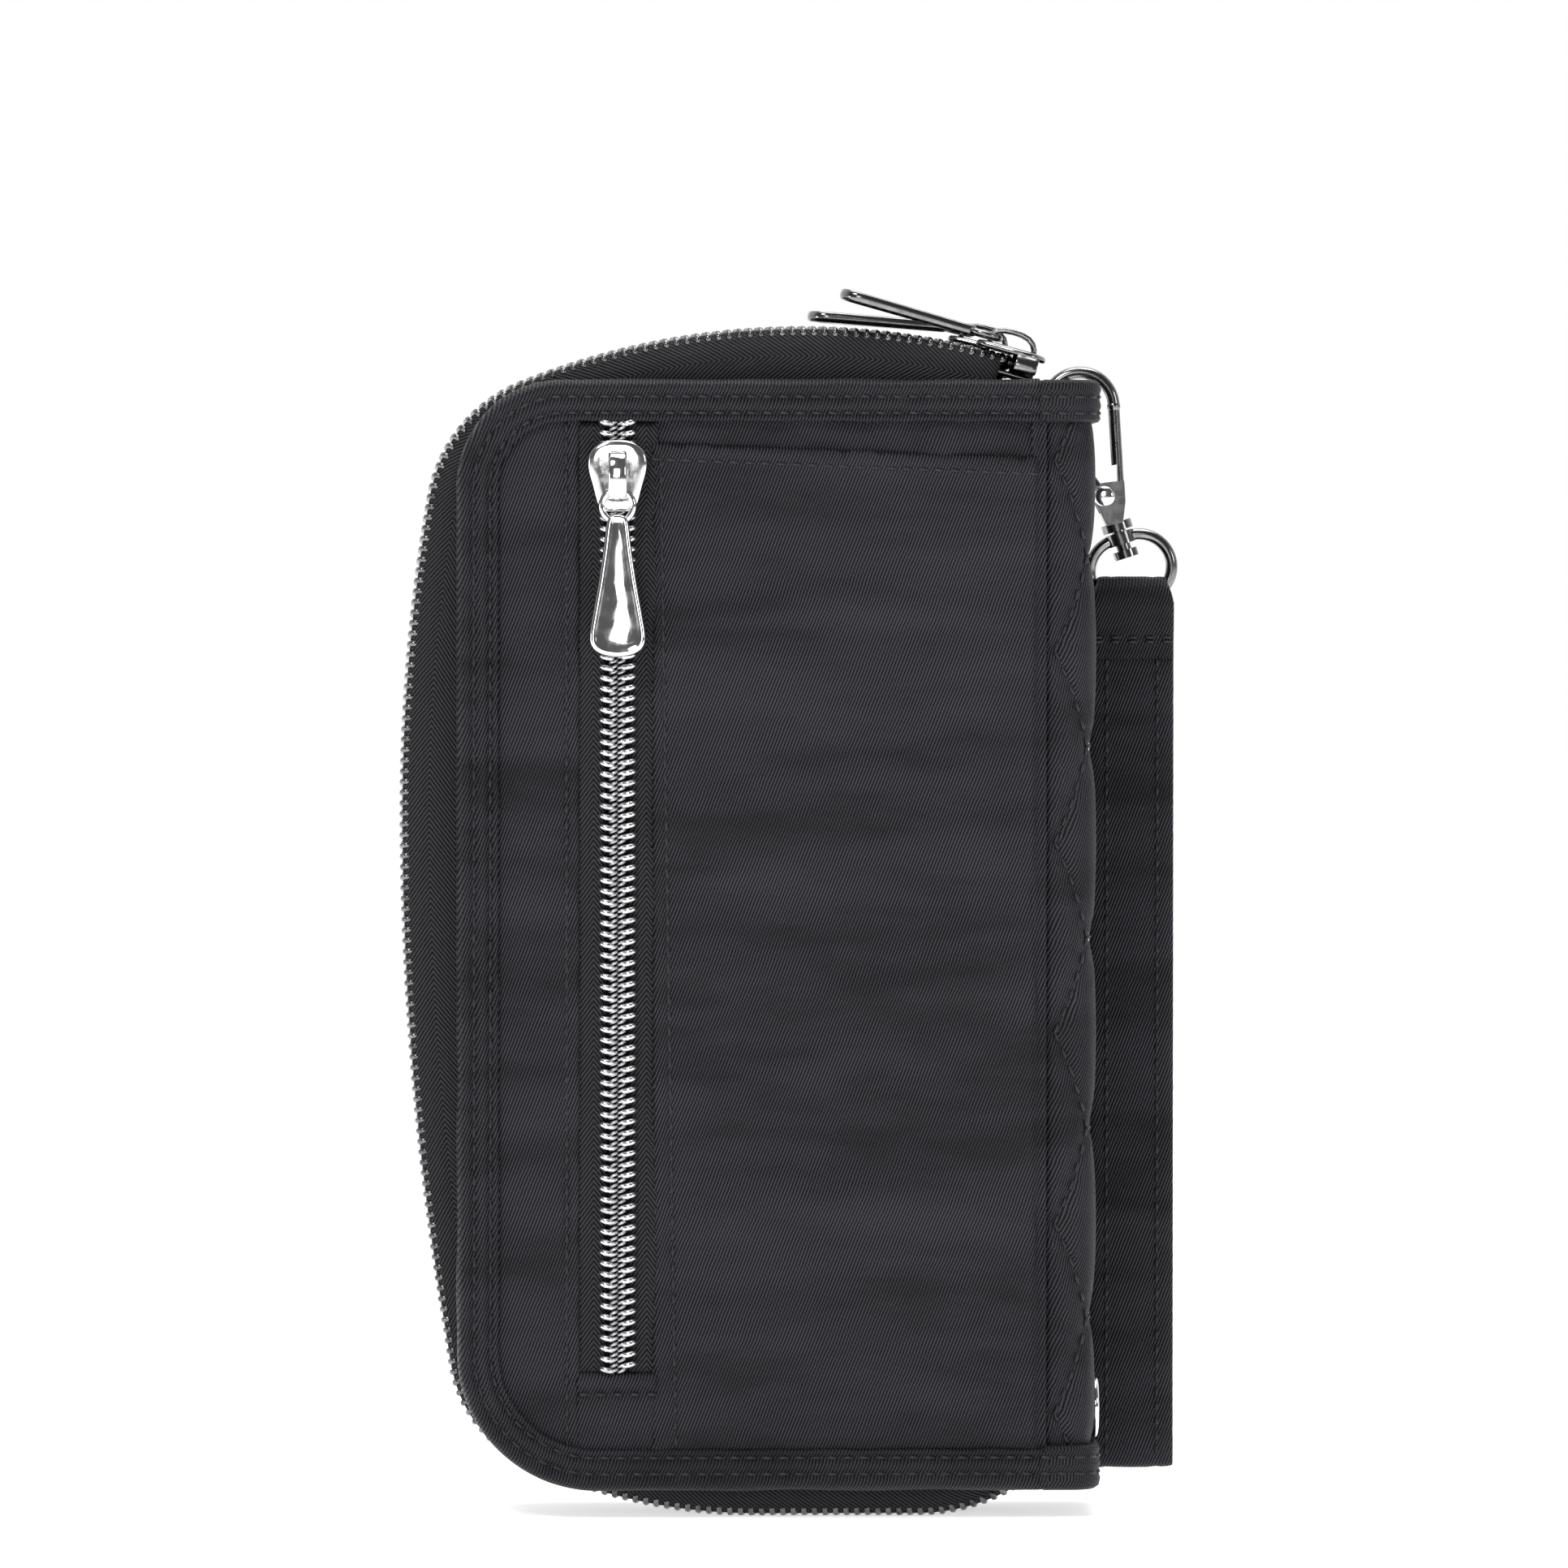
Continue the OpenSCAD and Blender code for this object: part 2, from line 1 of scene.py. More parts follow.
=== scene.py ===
"""Looks of a zip-around pouch: twill panels, quilting, bindings, zips, hardware and a wrist strap.

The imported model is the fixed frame. Lengths here are in millimetres and become metres when a mesh is made.
"""

import logging
import math
from dataclasses import dataclass, field, replace
from enum import Enum
from typing import Callable, Optional, Sequence

import bmesh
import bpy
import numpy as np
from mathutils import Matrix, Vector, noise
from mathutils.geometry import delaunay_2d_cdt


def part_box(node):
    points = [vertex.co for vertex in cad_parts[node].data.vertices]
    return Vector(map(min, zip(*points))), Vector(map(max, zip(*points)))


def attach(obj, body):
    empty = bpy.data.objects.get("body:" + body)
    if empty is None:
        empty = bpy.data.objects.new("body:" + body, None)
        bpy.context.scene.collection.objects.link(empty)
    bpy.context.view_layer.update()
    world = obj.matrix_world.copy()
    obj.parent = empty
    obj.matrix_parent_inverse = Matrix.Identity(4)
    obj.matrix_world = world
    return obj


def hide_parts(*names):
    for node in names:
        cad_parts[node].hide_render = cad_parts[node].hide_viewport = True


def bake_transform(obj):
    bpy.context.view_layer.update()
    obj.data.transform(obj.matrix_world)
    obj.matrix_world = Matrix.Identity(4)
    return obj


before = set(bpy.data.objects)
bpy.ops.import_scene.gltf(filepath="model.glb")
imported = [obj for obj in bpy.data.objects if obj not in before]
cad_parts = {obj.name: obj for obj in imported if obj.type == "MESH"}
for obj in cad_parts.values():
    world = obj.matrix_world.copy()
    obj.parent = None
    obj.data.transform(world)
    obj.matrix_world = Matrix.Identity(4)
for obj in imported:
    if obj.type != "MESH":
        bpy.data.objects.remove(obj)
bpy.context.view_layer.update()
MM = 0.001
LOG = logging.getLogger("pouch")
Socket = bpy.types.NodeSocket
Sockets = bpy.types.bpy_prop_collection
Node = bpy.types.Node
Tree = bpy.types.NodeTree
Piece = bpy.types.Object
Array = np.ndarray


# ---------------------------------------------------------------- node graphs
class Graph:
    """Short ways to add and join nodes in one node tree."""

    def __init__(self, tree: Tree) -> None:
        """Works on tree."""
        self.tree = tree

    def add(self, kind: str, inputs: Optional[dict] = None, **settings: object) -> Node:
        """Adds a node.

        Args:
            kind: The node's type name.
            inputs: Values or sockets by input name or number.
            settings: Properties to set on the node.
        Returns:
            The new node.
        """
        made = self.tree.nodes.new(kind)
        for key, value in settings.items():
            setattr(made, key, value)
        for key, value in (inputs or {}).items():
            self.put(value, made.inputs[key])
        return made

    def put(self, value: object, target: Socket) -> None:
        """Links a socket to another, or gives it a plain value.

        Args:
            value: A socket or a value.
            target: The socket that takes it.
        """
        if isinstance(value, Socket):
            self.tree.links.new(value, target)
        else:
            target.default_value = value

    def math(self, operation: str, *values: object) -> Socket:
        """Returns the result of a Math node on values."""
        made = self.add("ShaderNodeMath", dict(enumerate(values)), operation=operation)
        return made.outputs[0]

    def dot(self, vector: Socket, direction: Sequence[float]) -> Socket:
        """Returns vector's length along direction."""
        made = self.add("ShaderNodeVectorMath", {0: vector, 1: direction}, operation="DOT_PRODUCT")
        return made.outputs["Value"]

    def remap(self, value: Socket, low: float, high: float, out_low: float, out_high: float) -> Socket:
        """Returns value mapped from low..high to out_low..out_high, held inside."""
        made = self.add("ShaderNodeMapRange", {"Value": value, "From Min": low, "From Max": high,
                                               "To Min": out_low, "To Max": out_high})
        return made.outputs["Result"]

    def noise(self, vector: Socket, scale: float, detail: float = 3.0) -> Socket:
        """Returns a noise value over vector, with about scale features in a metre."""
        made = self.add("ShaderNodeTexNoise", {"Vector": vector, "Scale": scale, "Detail": detail})
        return made.outputs[0]

    def surface(self, shader: Node, colour: Socket, rough: Socket, height: Socket, strength: float,
                distance: float) -> None:
        """Joins a surface's values to its shader.

        Args:
            shader: The material's shader.
            colour: Its colour.
            rough: Its roughness.
            height: Its height, which becomes a bump.
            strength: Strength of the bump.
            distance: Depth of the bump in metres.
        """
        bump = self.add("ShaderNodeBump", {"Height": height, "Strength": strength, "Distance": distance})
        for socket, key in ((colour, "Base Color"), (rough, "Roughness"), (bump.outputs[0], "Normal")):
            self.put(socket, shader.inputs[key])

    def mix(self, factor: Socket, dark: Sequence[float], light: Sequence[float]) -> Socket:
        """Adds a mix of two colours.

        Args:
            factor: 0 for dark, 1 for light.
            dark: The first colour.
            light: The second colour.
        Returns:
            The mixed colour.
        """
        made = self.add("ShaderNodeMix", data_type="RGBA")
        self.put(factor, made.inputs["Factor"])
        self.put((*dark, 1.0), made.inputs[6])
        self.put((*light, 1.0), made.inputs[7])
        return made.outputs[2]


class Effect(Enum):
    """The shared surface effects, each built once as a shader node group."""

    TWILL = "twill_weave"
    HERRINGBONE = "herringbone_weave"
    PLAIN_WEAVE = "plain_weave"
    RIB = "webbing_ribs"
    METAL_WEAR = "metal_wear"


def new_group(effect: Effect, floats: dict[str, float], outputs: Sequence[str] = ("Height", "Light"),
              ) -> tuple[Graph, Sockets, Sockets]:
    """Starts a shader node group that reads a vector.

    Args:
        effect: The effect that it makes.
        floats: Defaults of its number inputs by name.
        outputs: Names of its outputs.
    Returns:
        The group's graph, the sockets that it is given and the sockets that it fills.
    """
    tree = bpy.data.node_groups.new(effect.value, "ShaderNodeTree")
    tree.interface.new_socket("Vector", in_out="INPUT", socket_type="NodeSocketVector")
    for key, default in floats.items():
        tree.interface.new_socket(key, in_out="INPUT", socket_type="NodeSocketFloat").default_value = default
    for key in outputs:
        tree.interface.new_socket(key, in_out="OUTPUT", socket_type="NodeSocketFloat")
    graph = Graph(tree)
    return graph, graph.add("NodeGroupInput").outputs, graph.add("NodeGroupOutput").inputs


class EffectLibrary:
    """Builds and places the shared effects."""

    TURN = 2 * math.pi

    def __init__(self) -> None:
        """Starts with no group built."""
        self.trees: dict[Effect, Tree] = {}

    def place(self, graph: Graph, effect: Effect, **inputs: object) -> Node:
        """Puts an effect in a material.

        Args:
            graph: The material's graph.
            effect: Which effect.
            inputs: Values or sockets for the group's inputs.
        Returns:
            The group node.
        """
        if effect not in self.trees:
            builders = {Effect.TWILL: self.build_twill_weave, Effect.HERRINGBONE: self.build_herringbone_weave,
                        Effect.PLAIN_WEAVE: self.build_plain_weave, Effect.RIB: self.build_webbing_ribs,
                        Effect.METAL_WEAR: self.build_metal_wear}
            self.trees[effect] = builders[effect]()
        node = graph.add("ShaderNodeGroup", node_tree=self.trees[effect])
        for key, value in inputs.items():
            graph.put(value, node.inputs[key])
        return node

    def wave(self, graph: Graph, along: Socket, pitch: Socket) -> Socket:
        """Adds a wave over a distance.

        Args:
            graph: The group's graph.
            along: The distance.
            pitch: The wave's length.
        Returns:
            A value from 0 to 1.
        """
        turns = graph.math("DIVIDE", along, pitch)
        sine = graph.math("SINE", graph.math("MULTIPLY", turns, self.TURN))
        return graph.math("MULTIPLY_ADD", sine, 0.5, 0.5)

    def build_twill_weave(self) -> Tree:
        """Builds the twill: steep ribs broken up by the threads that cross them, with painted light on the ribs and
        painted sheen in soft streaks.

        Returns:
            The group.
        """
        graph, given, result = new_group(Effect.TWILL, {"Pitch": 0.00048, "Depth": 0.2})
        place, pitch = given["Vector"], given["Pitch"]
        waver = graph.math("MULTIPLY", graph.noise(place, 260.0), 0.0003)
        deep = graph.math("MULTIPLY", graph.dot(place, (0.0, 1.0, 0.0)), given["Depth"])
        across = graph.math("ADD", graph.math("ADD", graph.dot(place, (0.93, 0.0, -0.37)), deep), waver)
        rib = self.wave(graph, across, pitch)
        thread = self.wave(graph, graph.dot(place, (0.45, 0.0, 0.89)), graph.math("MULTIPLY", pitch, 1.35))
        # Painted sheen: stretched low-frequency noise brightens the weave in soft streaks, standing in for light caught
        # on wrinkles.
        drawn = graph.add("ShaderNodeMapping", {"Vector": place, "Scale": (0.45, 0.45, 1.6)})
        cloud = graph.remap(graph.noise(drawn.outputs[0], 75.0, 4.0), 0.33, 0.68, 0.6, 1.3)
        height = graph.math("MULTIPLY_ADD", thread, 0.35, rib)
        # Painted light and shade: the colour is lighter on the ribs' tops and darker in the grooves between them.
        thin = graph.math("POWER", rib, 1.4)
        light = graph.math("MULTIPLY", graph.math("MULTIPLY_ADD", thread, 0.14, thin), cloud)
        graph.put(height, result["Height"])
        graph.put(light, result["Light"])
        return graph.tree

    def build_herringbone_weave(self) -> Tree:
        """Builds the zip tape: columns of slanted ribs that lean to alternate sides.

        Returns:
            The group.
        """
        graph, given, result = new_group(Effect.HERRINGBONE, {"Column": 0.0042, "Pitch": 0.0009})
        parts = graph.add("ShaderNodeSeparateXYZ", {0: given["Vector"]})
        fold = graph.math("PINGPONG", parts.outputs["Y"], given["Column"])
        slant = graph.math("MULTIPLY_ADD", fold, 1.35, parts.outputs["X"])
        rib = self.wave(graph, slant, given["Pitch"])
        fuzz = graph.noise(given["Vector"], 2600.0, 2.0)
        height = graph.math("MULTIPLY_ADD", fuzz, 0.5, rib)
        graph.put(height, result["Height"])
        # Painted shade: the tape's colour is lighter on the raised ribs and darker in the grooves between them.
        graph.put(graph.math("MULTIPLY", height, 0.7), result["Light"])
        return graph.tree

    def build_plain_weave(self) -> Tree:
        """Builds the lining: threads over and under at right angles.

        Returns:
            The group.
        """
        graph, given, result = new_group(Effect.PLAIN_WEAVE, {"Pitch": 0.0006})
        place, pitch = given["Vector"], given["Pitch"]
        warp = self.wave(graph, graph.dot(place, (1.0, 1.0, 0.0)), pitch)
        weft = self.wave(graph, graph.dot(place, (0.0, 0.0, 1.0)), pitch)
        height = graph.math("MULTIPLY", warp, weft)
        cloud = graph.noise(place, 120.0)
        graph.put(height, result["Height"])
        # The colour mixes random tone with painted shade, darker where the threads dip under each other.
        graph.put(graph.math("MULTIPLY_ADD", cloud, 0.5, graph.math("MULTIPLY", height, 0.5)), result["Light"])
        return graph.tree

    def build_webbing_ribs(self) -> Tree:
        """Builds the webbing: thick cross threads in lengthwise ribs, over a piece's UV map.

        Returns:
            The group.
        """
        graph, given, result = new_group(Effect.RIB, {"Pitch": 0.0009})
        parts = graph.add("ShaderNodeSeparateXYZ", {0: given["Vector"]})
        pitch = given["Pitch"]
        cross = self.wave(graph, parts.outputs["X"], pitch)
        lean = graph.math("MULTIPLY_ADD", parts.outputs["X"], 0.5, parts.outputs["Y"])
        rib = self.wave(graph, lean, graph.math("MULTIPLY", pitch, 0.8))
        height = graph.math("MULTIPLY_ADD", cross, 0.5, rib)
        graph.put(height, result["Height"])
        # The colour mixes painted shade, darker in the grooves between the ribs, with random tone.
        graph.put(graph.math("MULTIPLY_ADD", height, 0.4, graph.noise(given["Vector"], 700.0)),
                  result["Light"])
        return graph.tree

    def build_metal_wear(self) -> Tree:
        """Builds the metal: dull patches and fine scratches.

        Returns:
            The group.
        """
        graph, given, result = new_group(Effect.METAL_WEAR, {}, ("Dull", "Height"))
        place = given["Vector"]
        stretched = graph.add("ShaderNodeMapping", {"Vector": place, "Scale": (1.0, 1.0, 0.12),
                                                    "Rotation": (0.3, 0.6, 0.2)})
        scratch = graph.noise(stretched.outputs[0], 6000.0, 2.0)
        patch = graph.noise(place, 500.0, 4.0)
        dull = graph.math("MULTIPLY_ADD", graph.remap(scratch, 0.55, 0.75, 0.0, 1.0), 0.4,
                          graph.remap(patch, 0.4, 0.75, 0.0, 1.0))
        graph.put(dull, result["Dull"])
        graph.put(graph.math("ADD", patch, graph.math("MULTIPLY", scratch, 0.3)), result["Height"])
        return graph.tree


EFFECTS = EffectLibrary()


@dataclass(frozen=True)
class Finish:
    """What a piece is made of.

    Attributes:
        name: Name of the material.
        slot: The record's material slot; not used.
    """

    name: str
    slot: str

    def material(self) -> bpy.types.Material:
        """Builds the material on first use.

        Returns:
            The material.
        """
        made = bpy.data.materials.get(self.name)
        if made is None:
            made = bpy.data.materials.new(self.name)
            made.use_nodes = True
            graph = Graph(made.node_tree)
            self.dress(graph, made.node_tree.nodes["Principled BSDF"], graph.add("ShaderNodeTexCoord").outputs)
        return made

    def dress(self, graph: Graph, shader: Node, coords: Sockets) -> None:
        """Adds the finish's own nodes between the texture coordinates and the shader."""
        raise NotImplementedError


@dataclass(frozen=True)
class Cloth(Finish):
    """A woven finish.

    Attributes:
        effect: The weave.
        dark: Colour between the threads, painted shade in the weave's hollows.
        light: Colour on top of the threads, painted light on their raised tops.
        pitch: Distance between ribs in metres.
        relief: Height of the weave in metres.
        sheen: Weight of the soft sheen.
        rough: Roughness on top of the threads.
        by_uv: Whether the weave follows the piece's own UV map.
        depth: How much the twill's ribs move on for a step in y; near 1 where cloth wraps round the spine.
    """

    effect: Effect
    dark: tuple[float, float, float]
    light: tuple[float, float, float]
    pitch: float
    relief: float = 0.00011
    sheen: float = 0.02
    rough: float = 0.38
    by_uv: bool = False
    depth: float = 0.15

    def dress(self, graph: Graph, shader: Node, coords: Sockets) -> None:
        """Adds the weave, with painted shade between its threads.

        Args:
            graph: The material's graph.
            shader: Its shader.
            coords: Its texture coordinates.
        """
        extra = {"Depth": self.depth} if self.effect is Effect.TWILL else {}
        weave = EFFECTS.place(graph, self.effect, Vector=coords["UV" if self.by_uv else "Object"], Pitch=self.pitch,
                              **extra).outputs
        # Painted shade and light: the weave's Light output mixes the colour from dark in its grooves to light on its
        # raised threads.
        light = graph.remap(weave["Light"], 0.15, 0.95, 0.0, 1.0)
        rough = graph.remap(weave["Height"], 0.0, 1.3, min(1.0, self.rough + 0.2), self.rough)
        graph.surface(shader, graph.mix(light, self.dark, self.light), rough, weave["Height"], 0.8, self.relief)
        for key, value in (("Sheen Weight", self.sheen), ("Sheen Roughness", 0.35), ("Specular IOR Level", 0.14)):
            shader.inputs[key].default_value = value


@dataclass(frozen=True)
class Metal(Finish):
    """A plated finish.

    Attributes:
        colour: Colour of the clean plating.
        worn: Colour where it has dulled.
        rough: Roughness of the clean plating.
    """

    colour: tuple[float, float, float]
    worn: tuple[float, float, float]
    rough: float

    def dress(self, graph: Graph, shader: Node, coords: Sockets) -> None:
        """Adds the plating and its wear.

        Args:
            graph: The material's graph.
            shader: Its shader.
            coords: Its texture coordinates.
        """
        wear = EFFECTS.place(graph, Effect.METAL_WEAR, Vector=coords["Object"]).outputs
        rough = graph.remap(wear["Dull"], 0.0, 1.2, self.rough, self.rough + 0.16)
        graph.surface(shader, graph.mix(wear["Dull"], self.colour, self.worn), rough, wear["Height"], 0.15, 0.00002)
        shader.inputs["Metallic"].default_value = 1.0


@dataclass(frozen=True)
class Solid(Finish):
    """A plain moulded, foam or thread finish with a fine grain.

    Attributes:
        dark: Darker tone.
        light: Lighter tone.
        rough: Roughness.
        grain: Features of the grain in a metre.
    """

    dark: tuple[float, float, float]
    light: tuple[float, float, float]
    rough: float
    grain: float = 3000.0

    def dress(self, graph: Graph, shader: Node, coords: Sockets) -> None:
        """Adds the grain.

        Args:
            graph: The material's graph.
            shader: Its shader.
            coords: Its texture coordinates.
        """
        grain = graph.noise(coords["Object"], self.grain, 3.0)
        colour = graph.mix(graph.remap(grain, 0.3, 0.7, 0.0, 1.0), self.dark, self.light)
        rough = graph.remap(grain, 0.3, 0.7, self.rough - 0.08, self.rough + 0.08)
        graph.surface(shader, colour, rough, grain, 0.5, 0.00004)


# The cloths' dark colours are painted shade between the threads; their light colours are painted light on the thread
# tops.
NEAR_BLACK = (0.0015, 0.0014, 0.002)
NYLON = Cloth("nylon_twill", "nylon", Effect.TWILL, NEAR_BLACK, (0.044, 0.0415, 0.052), 0.00048)
BINDING = Cloth("binding_twill", "binding", Effect.TWILL, NEAR_BLACK, (0.038, 0.036, 0.045), 0.0005)
QUILT = replace(NYLON, name="quilted_twill", slot="quilting")
SPINE_SKIN = replace(QUILT, name="spine_twill", depth=0.93)
SPINE_EDGE = replace(BINDING, name="spine_edge_twill", depth=0.93)
LINING = Cloth("lining_weave", "lining", Effect.PLAIN_WEAVE, (0.008, 0.008, 0.01), (0.045, 0.045, 0.052), 0.0006)
TAPE = Cloth("zip_tape_weave", "zip_tape", Effect.HERRINGBONE, (0.001, 0.001, 0.0012), (0.05, 0.049, 0.055),
             0.00088, relief=0.00022, rough=0.6, by_uv=True)
WEBBING = Cloth("webbing_weave", "webbing", Effect.RIB, (0.003, 0.003, 0.004), (0.028, 0.027, 0.033),
                0.0008, relief=0.0001, rough=0.5, by_uv=True)
STRAP = replace(NYLON, name="strap_twill", slot="webbing")
CHROME = Metal("bright_plating", "chrome", (0.9, 0.9, 0.91), (0.78, 0.78, 0.79), 0.06)
GUNMETAL = Metal("dark_plating", "gunmetal", (0.26, 0.255, 0.26), (0.16, 0.155, 0.16), 0.12)
BRIGHT_COIL = Metal("silver_coil", "bright_teeth", (0.78, 0.78, 0.79), (0.5, 0.5, 0.51), 0.2)
DULL_COIL = Metal("dull_coil_core", "bright_teeth", (0.55, 0.55, 0.56), (0.32, 0.32, 0.33), 0.3)
DARK_COIL = Metal("dark_coil", "dark_teeth", (0.2, 0.2, 0.205), (0.06, 0.06, 0.062), 0.2)
THREAD = Solid("sewing_thread", "binding", (0.0008, 0.0008, 0.001), (0.006, 0.0058, 0.007), 0.5, 5000.0)
BOARD = Solid("stiffener", "board", (0.05, 0.05, 0.05), (0.1, 0.1, 0.1), 0.6)
FOAM = Solid("sheet_foam", "foam", (0.45, 0.45, 0.43), (0.62, 0.62, 0.6), 0.85, 2500.0)


# ---------------------------------------------------------------- mesh making
def finish_piece(obj: Piece, body: str, finish: Finish, replaced: Sequence[str] = ()) -> Piece:
    """Dresses a piece, hides the CAD nodes it stands for and makes it ride.

    Args:
        obj: The piece, in place at the origin.
        body: The CAD body that it moves with.
        finish: A Cloth, Metal or Solid.
        replaced: CAD nodes that it stands for.
    Returns:
        The same piece.
    """
    if not obj.data.materials:
        obj.data.materials.append(finish.material())
    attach(obj, body)
    if replaced:
        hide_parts(*replaced)
    LOG.info("%s: %d faces on %s", obj.name, len(obj.data.polygons), body)
    return obj


def placed(name: str, data: bpy.types.ID) -> Piece:
    """Adds an object to the scene.

    Args:
        name: The object's name.
        data: Its mesh, light or camera.
    Returns:
        The object.
    """
    made = bpy.data.objects.new(name, data)
    bpy.context.scene.collection.objects.link(made)
    return made


def mesh_piece(name: str, verts: Array, faces: Sequence[Sequence[int]], uvs: Optional[Array] = None,
               ) -> Piece:
    """Makes a smooth-shaded object at the origin from points in millimetres.

    Args:
        name: The piece's name.
        verts: Points, one row each.
        faces: Corner numbers of each face, anticlockwise from outside.
        uvs: Two numbers per point, in metres along and across the cloth.
    Returns:
        The new object.
    """
    mesh = bpy.data.meshes.new(name)
    mesh.from_pydata((np.asarray(verts, float) * MM).tolist(), [], [list(f) for f in faces])
    mesh.polygons.foreach_set("use_smooth", [True] * len(mesh.polygons))
    if uvs is not None:
        corners = np.empty(len(mesh.loops), dtype=np.int32)
        mesh.loops.foreach_get("vertex_index", corners)
        layer = mesh.uv_layers.new(name="weave")
        layer.data.foreach_set("uv", np.asarray(uvs, float)[corners].astype(np.float32).ravel())
    mesh.update()
    return placed(name, mesh)


def ring_faces(count: int, sides: int, closed: bool = False) -> list[Sequence[int]]:
    """Returns the quads between rings of points stored ring by ring, back to the first ring if closed."""
    return [(r * sides + c, r * sides + (c + 1) % sides, (r + 1) % count * sides + (c + 1) % sides,
             (r + 1) % count * sides + c) for r in range(count if closed else count - 1) for c in range(sides)]


def outward(obj: Piece) -> Piece:
    """Turns a closed piece's faces outwards.

    Args:
        obj: The piece.
    Returns:
        The same piece.
    """
    work = bmesh.new()
    work.from_mesh(obj.data)
    bmesh.ops.recalc_face_normals(work, faces=work.faces)
    work.to_mesh(obj.data)
    work.free()
    return obj


def tube_piece(name: str, rings: Array, uvs: Optional[Array] = None) -> Piece:
    """Makes a closed solid from rings of points, with its ends capped.

    Args:
        name: The piece's name.
        rings: Points as rings x points x 3, in millimetres.
        uvs: Two numbers per point, as rings x points x 2, in metres.
    Returns:
        The new object.
    """
    count, sides = rings.shape[:2]
    ends = [tuple(range(sides)), tuple(range((count - 1) * sides, count * sides))[::-1]]
    faces = ring_faces(count, sides) + ends
    return outward(mesh_piece(name, rings.reshape(-1, 3), faces, None if uvs is None else uvs.reshape(-1, 2)))


def loop_piece(name: str, rings: Array, uvs: Optional[Array] = None) -> Piece:
    """Makes a ring-shaped solid from rings of points that join round, as tube_piece does."""
    faces = ring_faces(*rings.shape[:2], closed=True)
    return outward(mesh_piece(name, rings.reshape(-1, 3), faces, None if uvs is None else uvs.reshape(-1, 2)))


def join(name: str, parts: Sequence[Piece]) -> Piece:
    """Joins pieces into one.

    Args:
        name: Name of the result.
        parts: The pieces, which are used up.
    Returns:
        The joined piece.
    """
    with bpy.context.temp_override(active_object=parts[0], selected_editable_objects=list(parts)):
        bpy.ops.object.join()
    parts[0].name = name
    return parts[0]


def baked(obj: Piece) -> Piece:
    """Leaves a piece's modifiers in its mesh as plain faces.

    Args:
        obj: The piece.
    Returns:
        The same piece.
    """
    graph = bpy.context.evaluated_depsgraph_get()
    graph.update()
    mesh = bpy.data.meshes.new_from_object(obj.evaluated_get(graph))
    obj.modifiers.clear()
    obj.data = mesh
    return obj


# ---------------------------------------------------------------- outlines
@dataclass(frozen=True)
class Track:
    """Evenly spaced places along a route in the X-Z plane, in millimetres.

    Attributes:
        at: Places, one row each.
        ahead: Unit directions of travel.
        inward: Unit directions to the inside of the outline.
        run: Distance from the start.
    """

    at: Array
    ahead: Array
    inward: Array
    run: Array


@dataclass(frozen=True)
class Route:
    """A route of straights and clockwise turns in the X-Z plane.

    Attributes:
        start: First place in millimetres.
        heading: First heading in degrees from +X.
        runs: Pairs of radius and turn; with a radius of 0 the second number is a straight's length.
    """

    start: tuple[float, float]
    heading: float
    runs: tuple[tuple[float, float], ...]

    def track(self, step: float, inset: float = 0.0) -> Track:
        """Samples the route.

        Args:
            step: Distance between places in millimetres.
            inset: How far inside the route the places lie.
        Returns:
            The places and their directions.
        """
        fine: list[tuple[float, float, float]] = []
        x, z = self.start
        angle = self.heading
        for radius, amount in self.runs:
            if radius == 0:
                for share in np.linspace(0, 1, 30)[:-1]:
                    fine.append((x + share * amount * cosd(angle), z + share * amount * sind(angle), angle))
                x += amount * cosd(angle)
                z += amount * sind(angle)
                continue
            cx, cz = x + radius * cosd(angle - 90), z + radius * sind(angle - 90)
            for share in np.linspace(0, 1, 60)[:-1]:
                now = angle - share * amount
                fine.append((cx + radius * cosd(now + 90), cz + radius * sind(now + 90), now))
            angle -= amount
            x, z = cx + radius * cosd(angle + 90), cz + radius * sind(angle + 90)
        fine.append((x, z, angle))
        data = np.array(fine)
        data[:, 0] += inset * np.cos(np.radians(data[:, 2] - 90))
        data[:, 1] += inset * np.sin(np.radians(data[:, 2] - 90))
        run = distances(data[:, :2])
        count = max(2, int(round(run[-1] / step)) + 1)
        where = np.linspace(0, run[-1], count)
        px, pz, pa = (np.interp(where, run, data[:, i]) for i in range(3))
        turn = np.radians(pa)
        return Track(np.stack([px, pz], 1), np.stack([np.cos(turn), np.sin(turn)], 1),
                     np.stack([np.sin(turn), -np.cos(turn)], 1), where)


def uneven(a: float, b: float, c: float) -> float:
    """Returns smooth noise from about -1 to 1 at a place."""
    return noise.noise(Vector((a, b, c)))


def distances(points: Array) -> Array:
    """Returns each point's distance from the first, along the line through them."""
    return np.concatenate([[0], np.cumsum(np.hypot(*np.diff(points, axis=0).T))])


def cosd(angle: float) -> float:
    """Returns the cosine of an angle in degrees."""
    return math.cos(math.radians(angle))


def sind(angle: float) -> float:
    """Returns the sine of an angle in degrees."""
    return math.sin(math.radians(angle))


def millimetre_box(node: str) -> tuple[Vector, Vector]:
    """Returns a CAD node's lowest and highest corners in millimetres."""
    low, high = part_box(node)
    return low / MM, high / MM


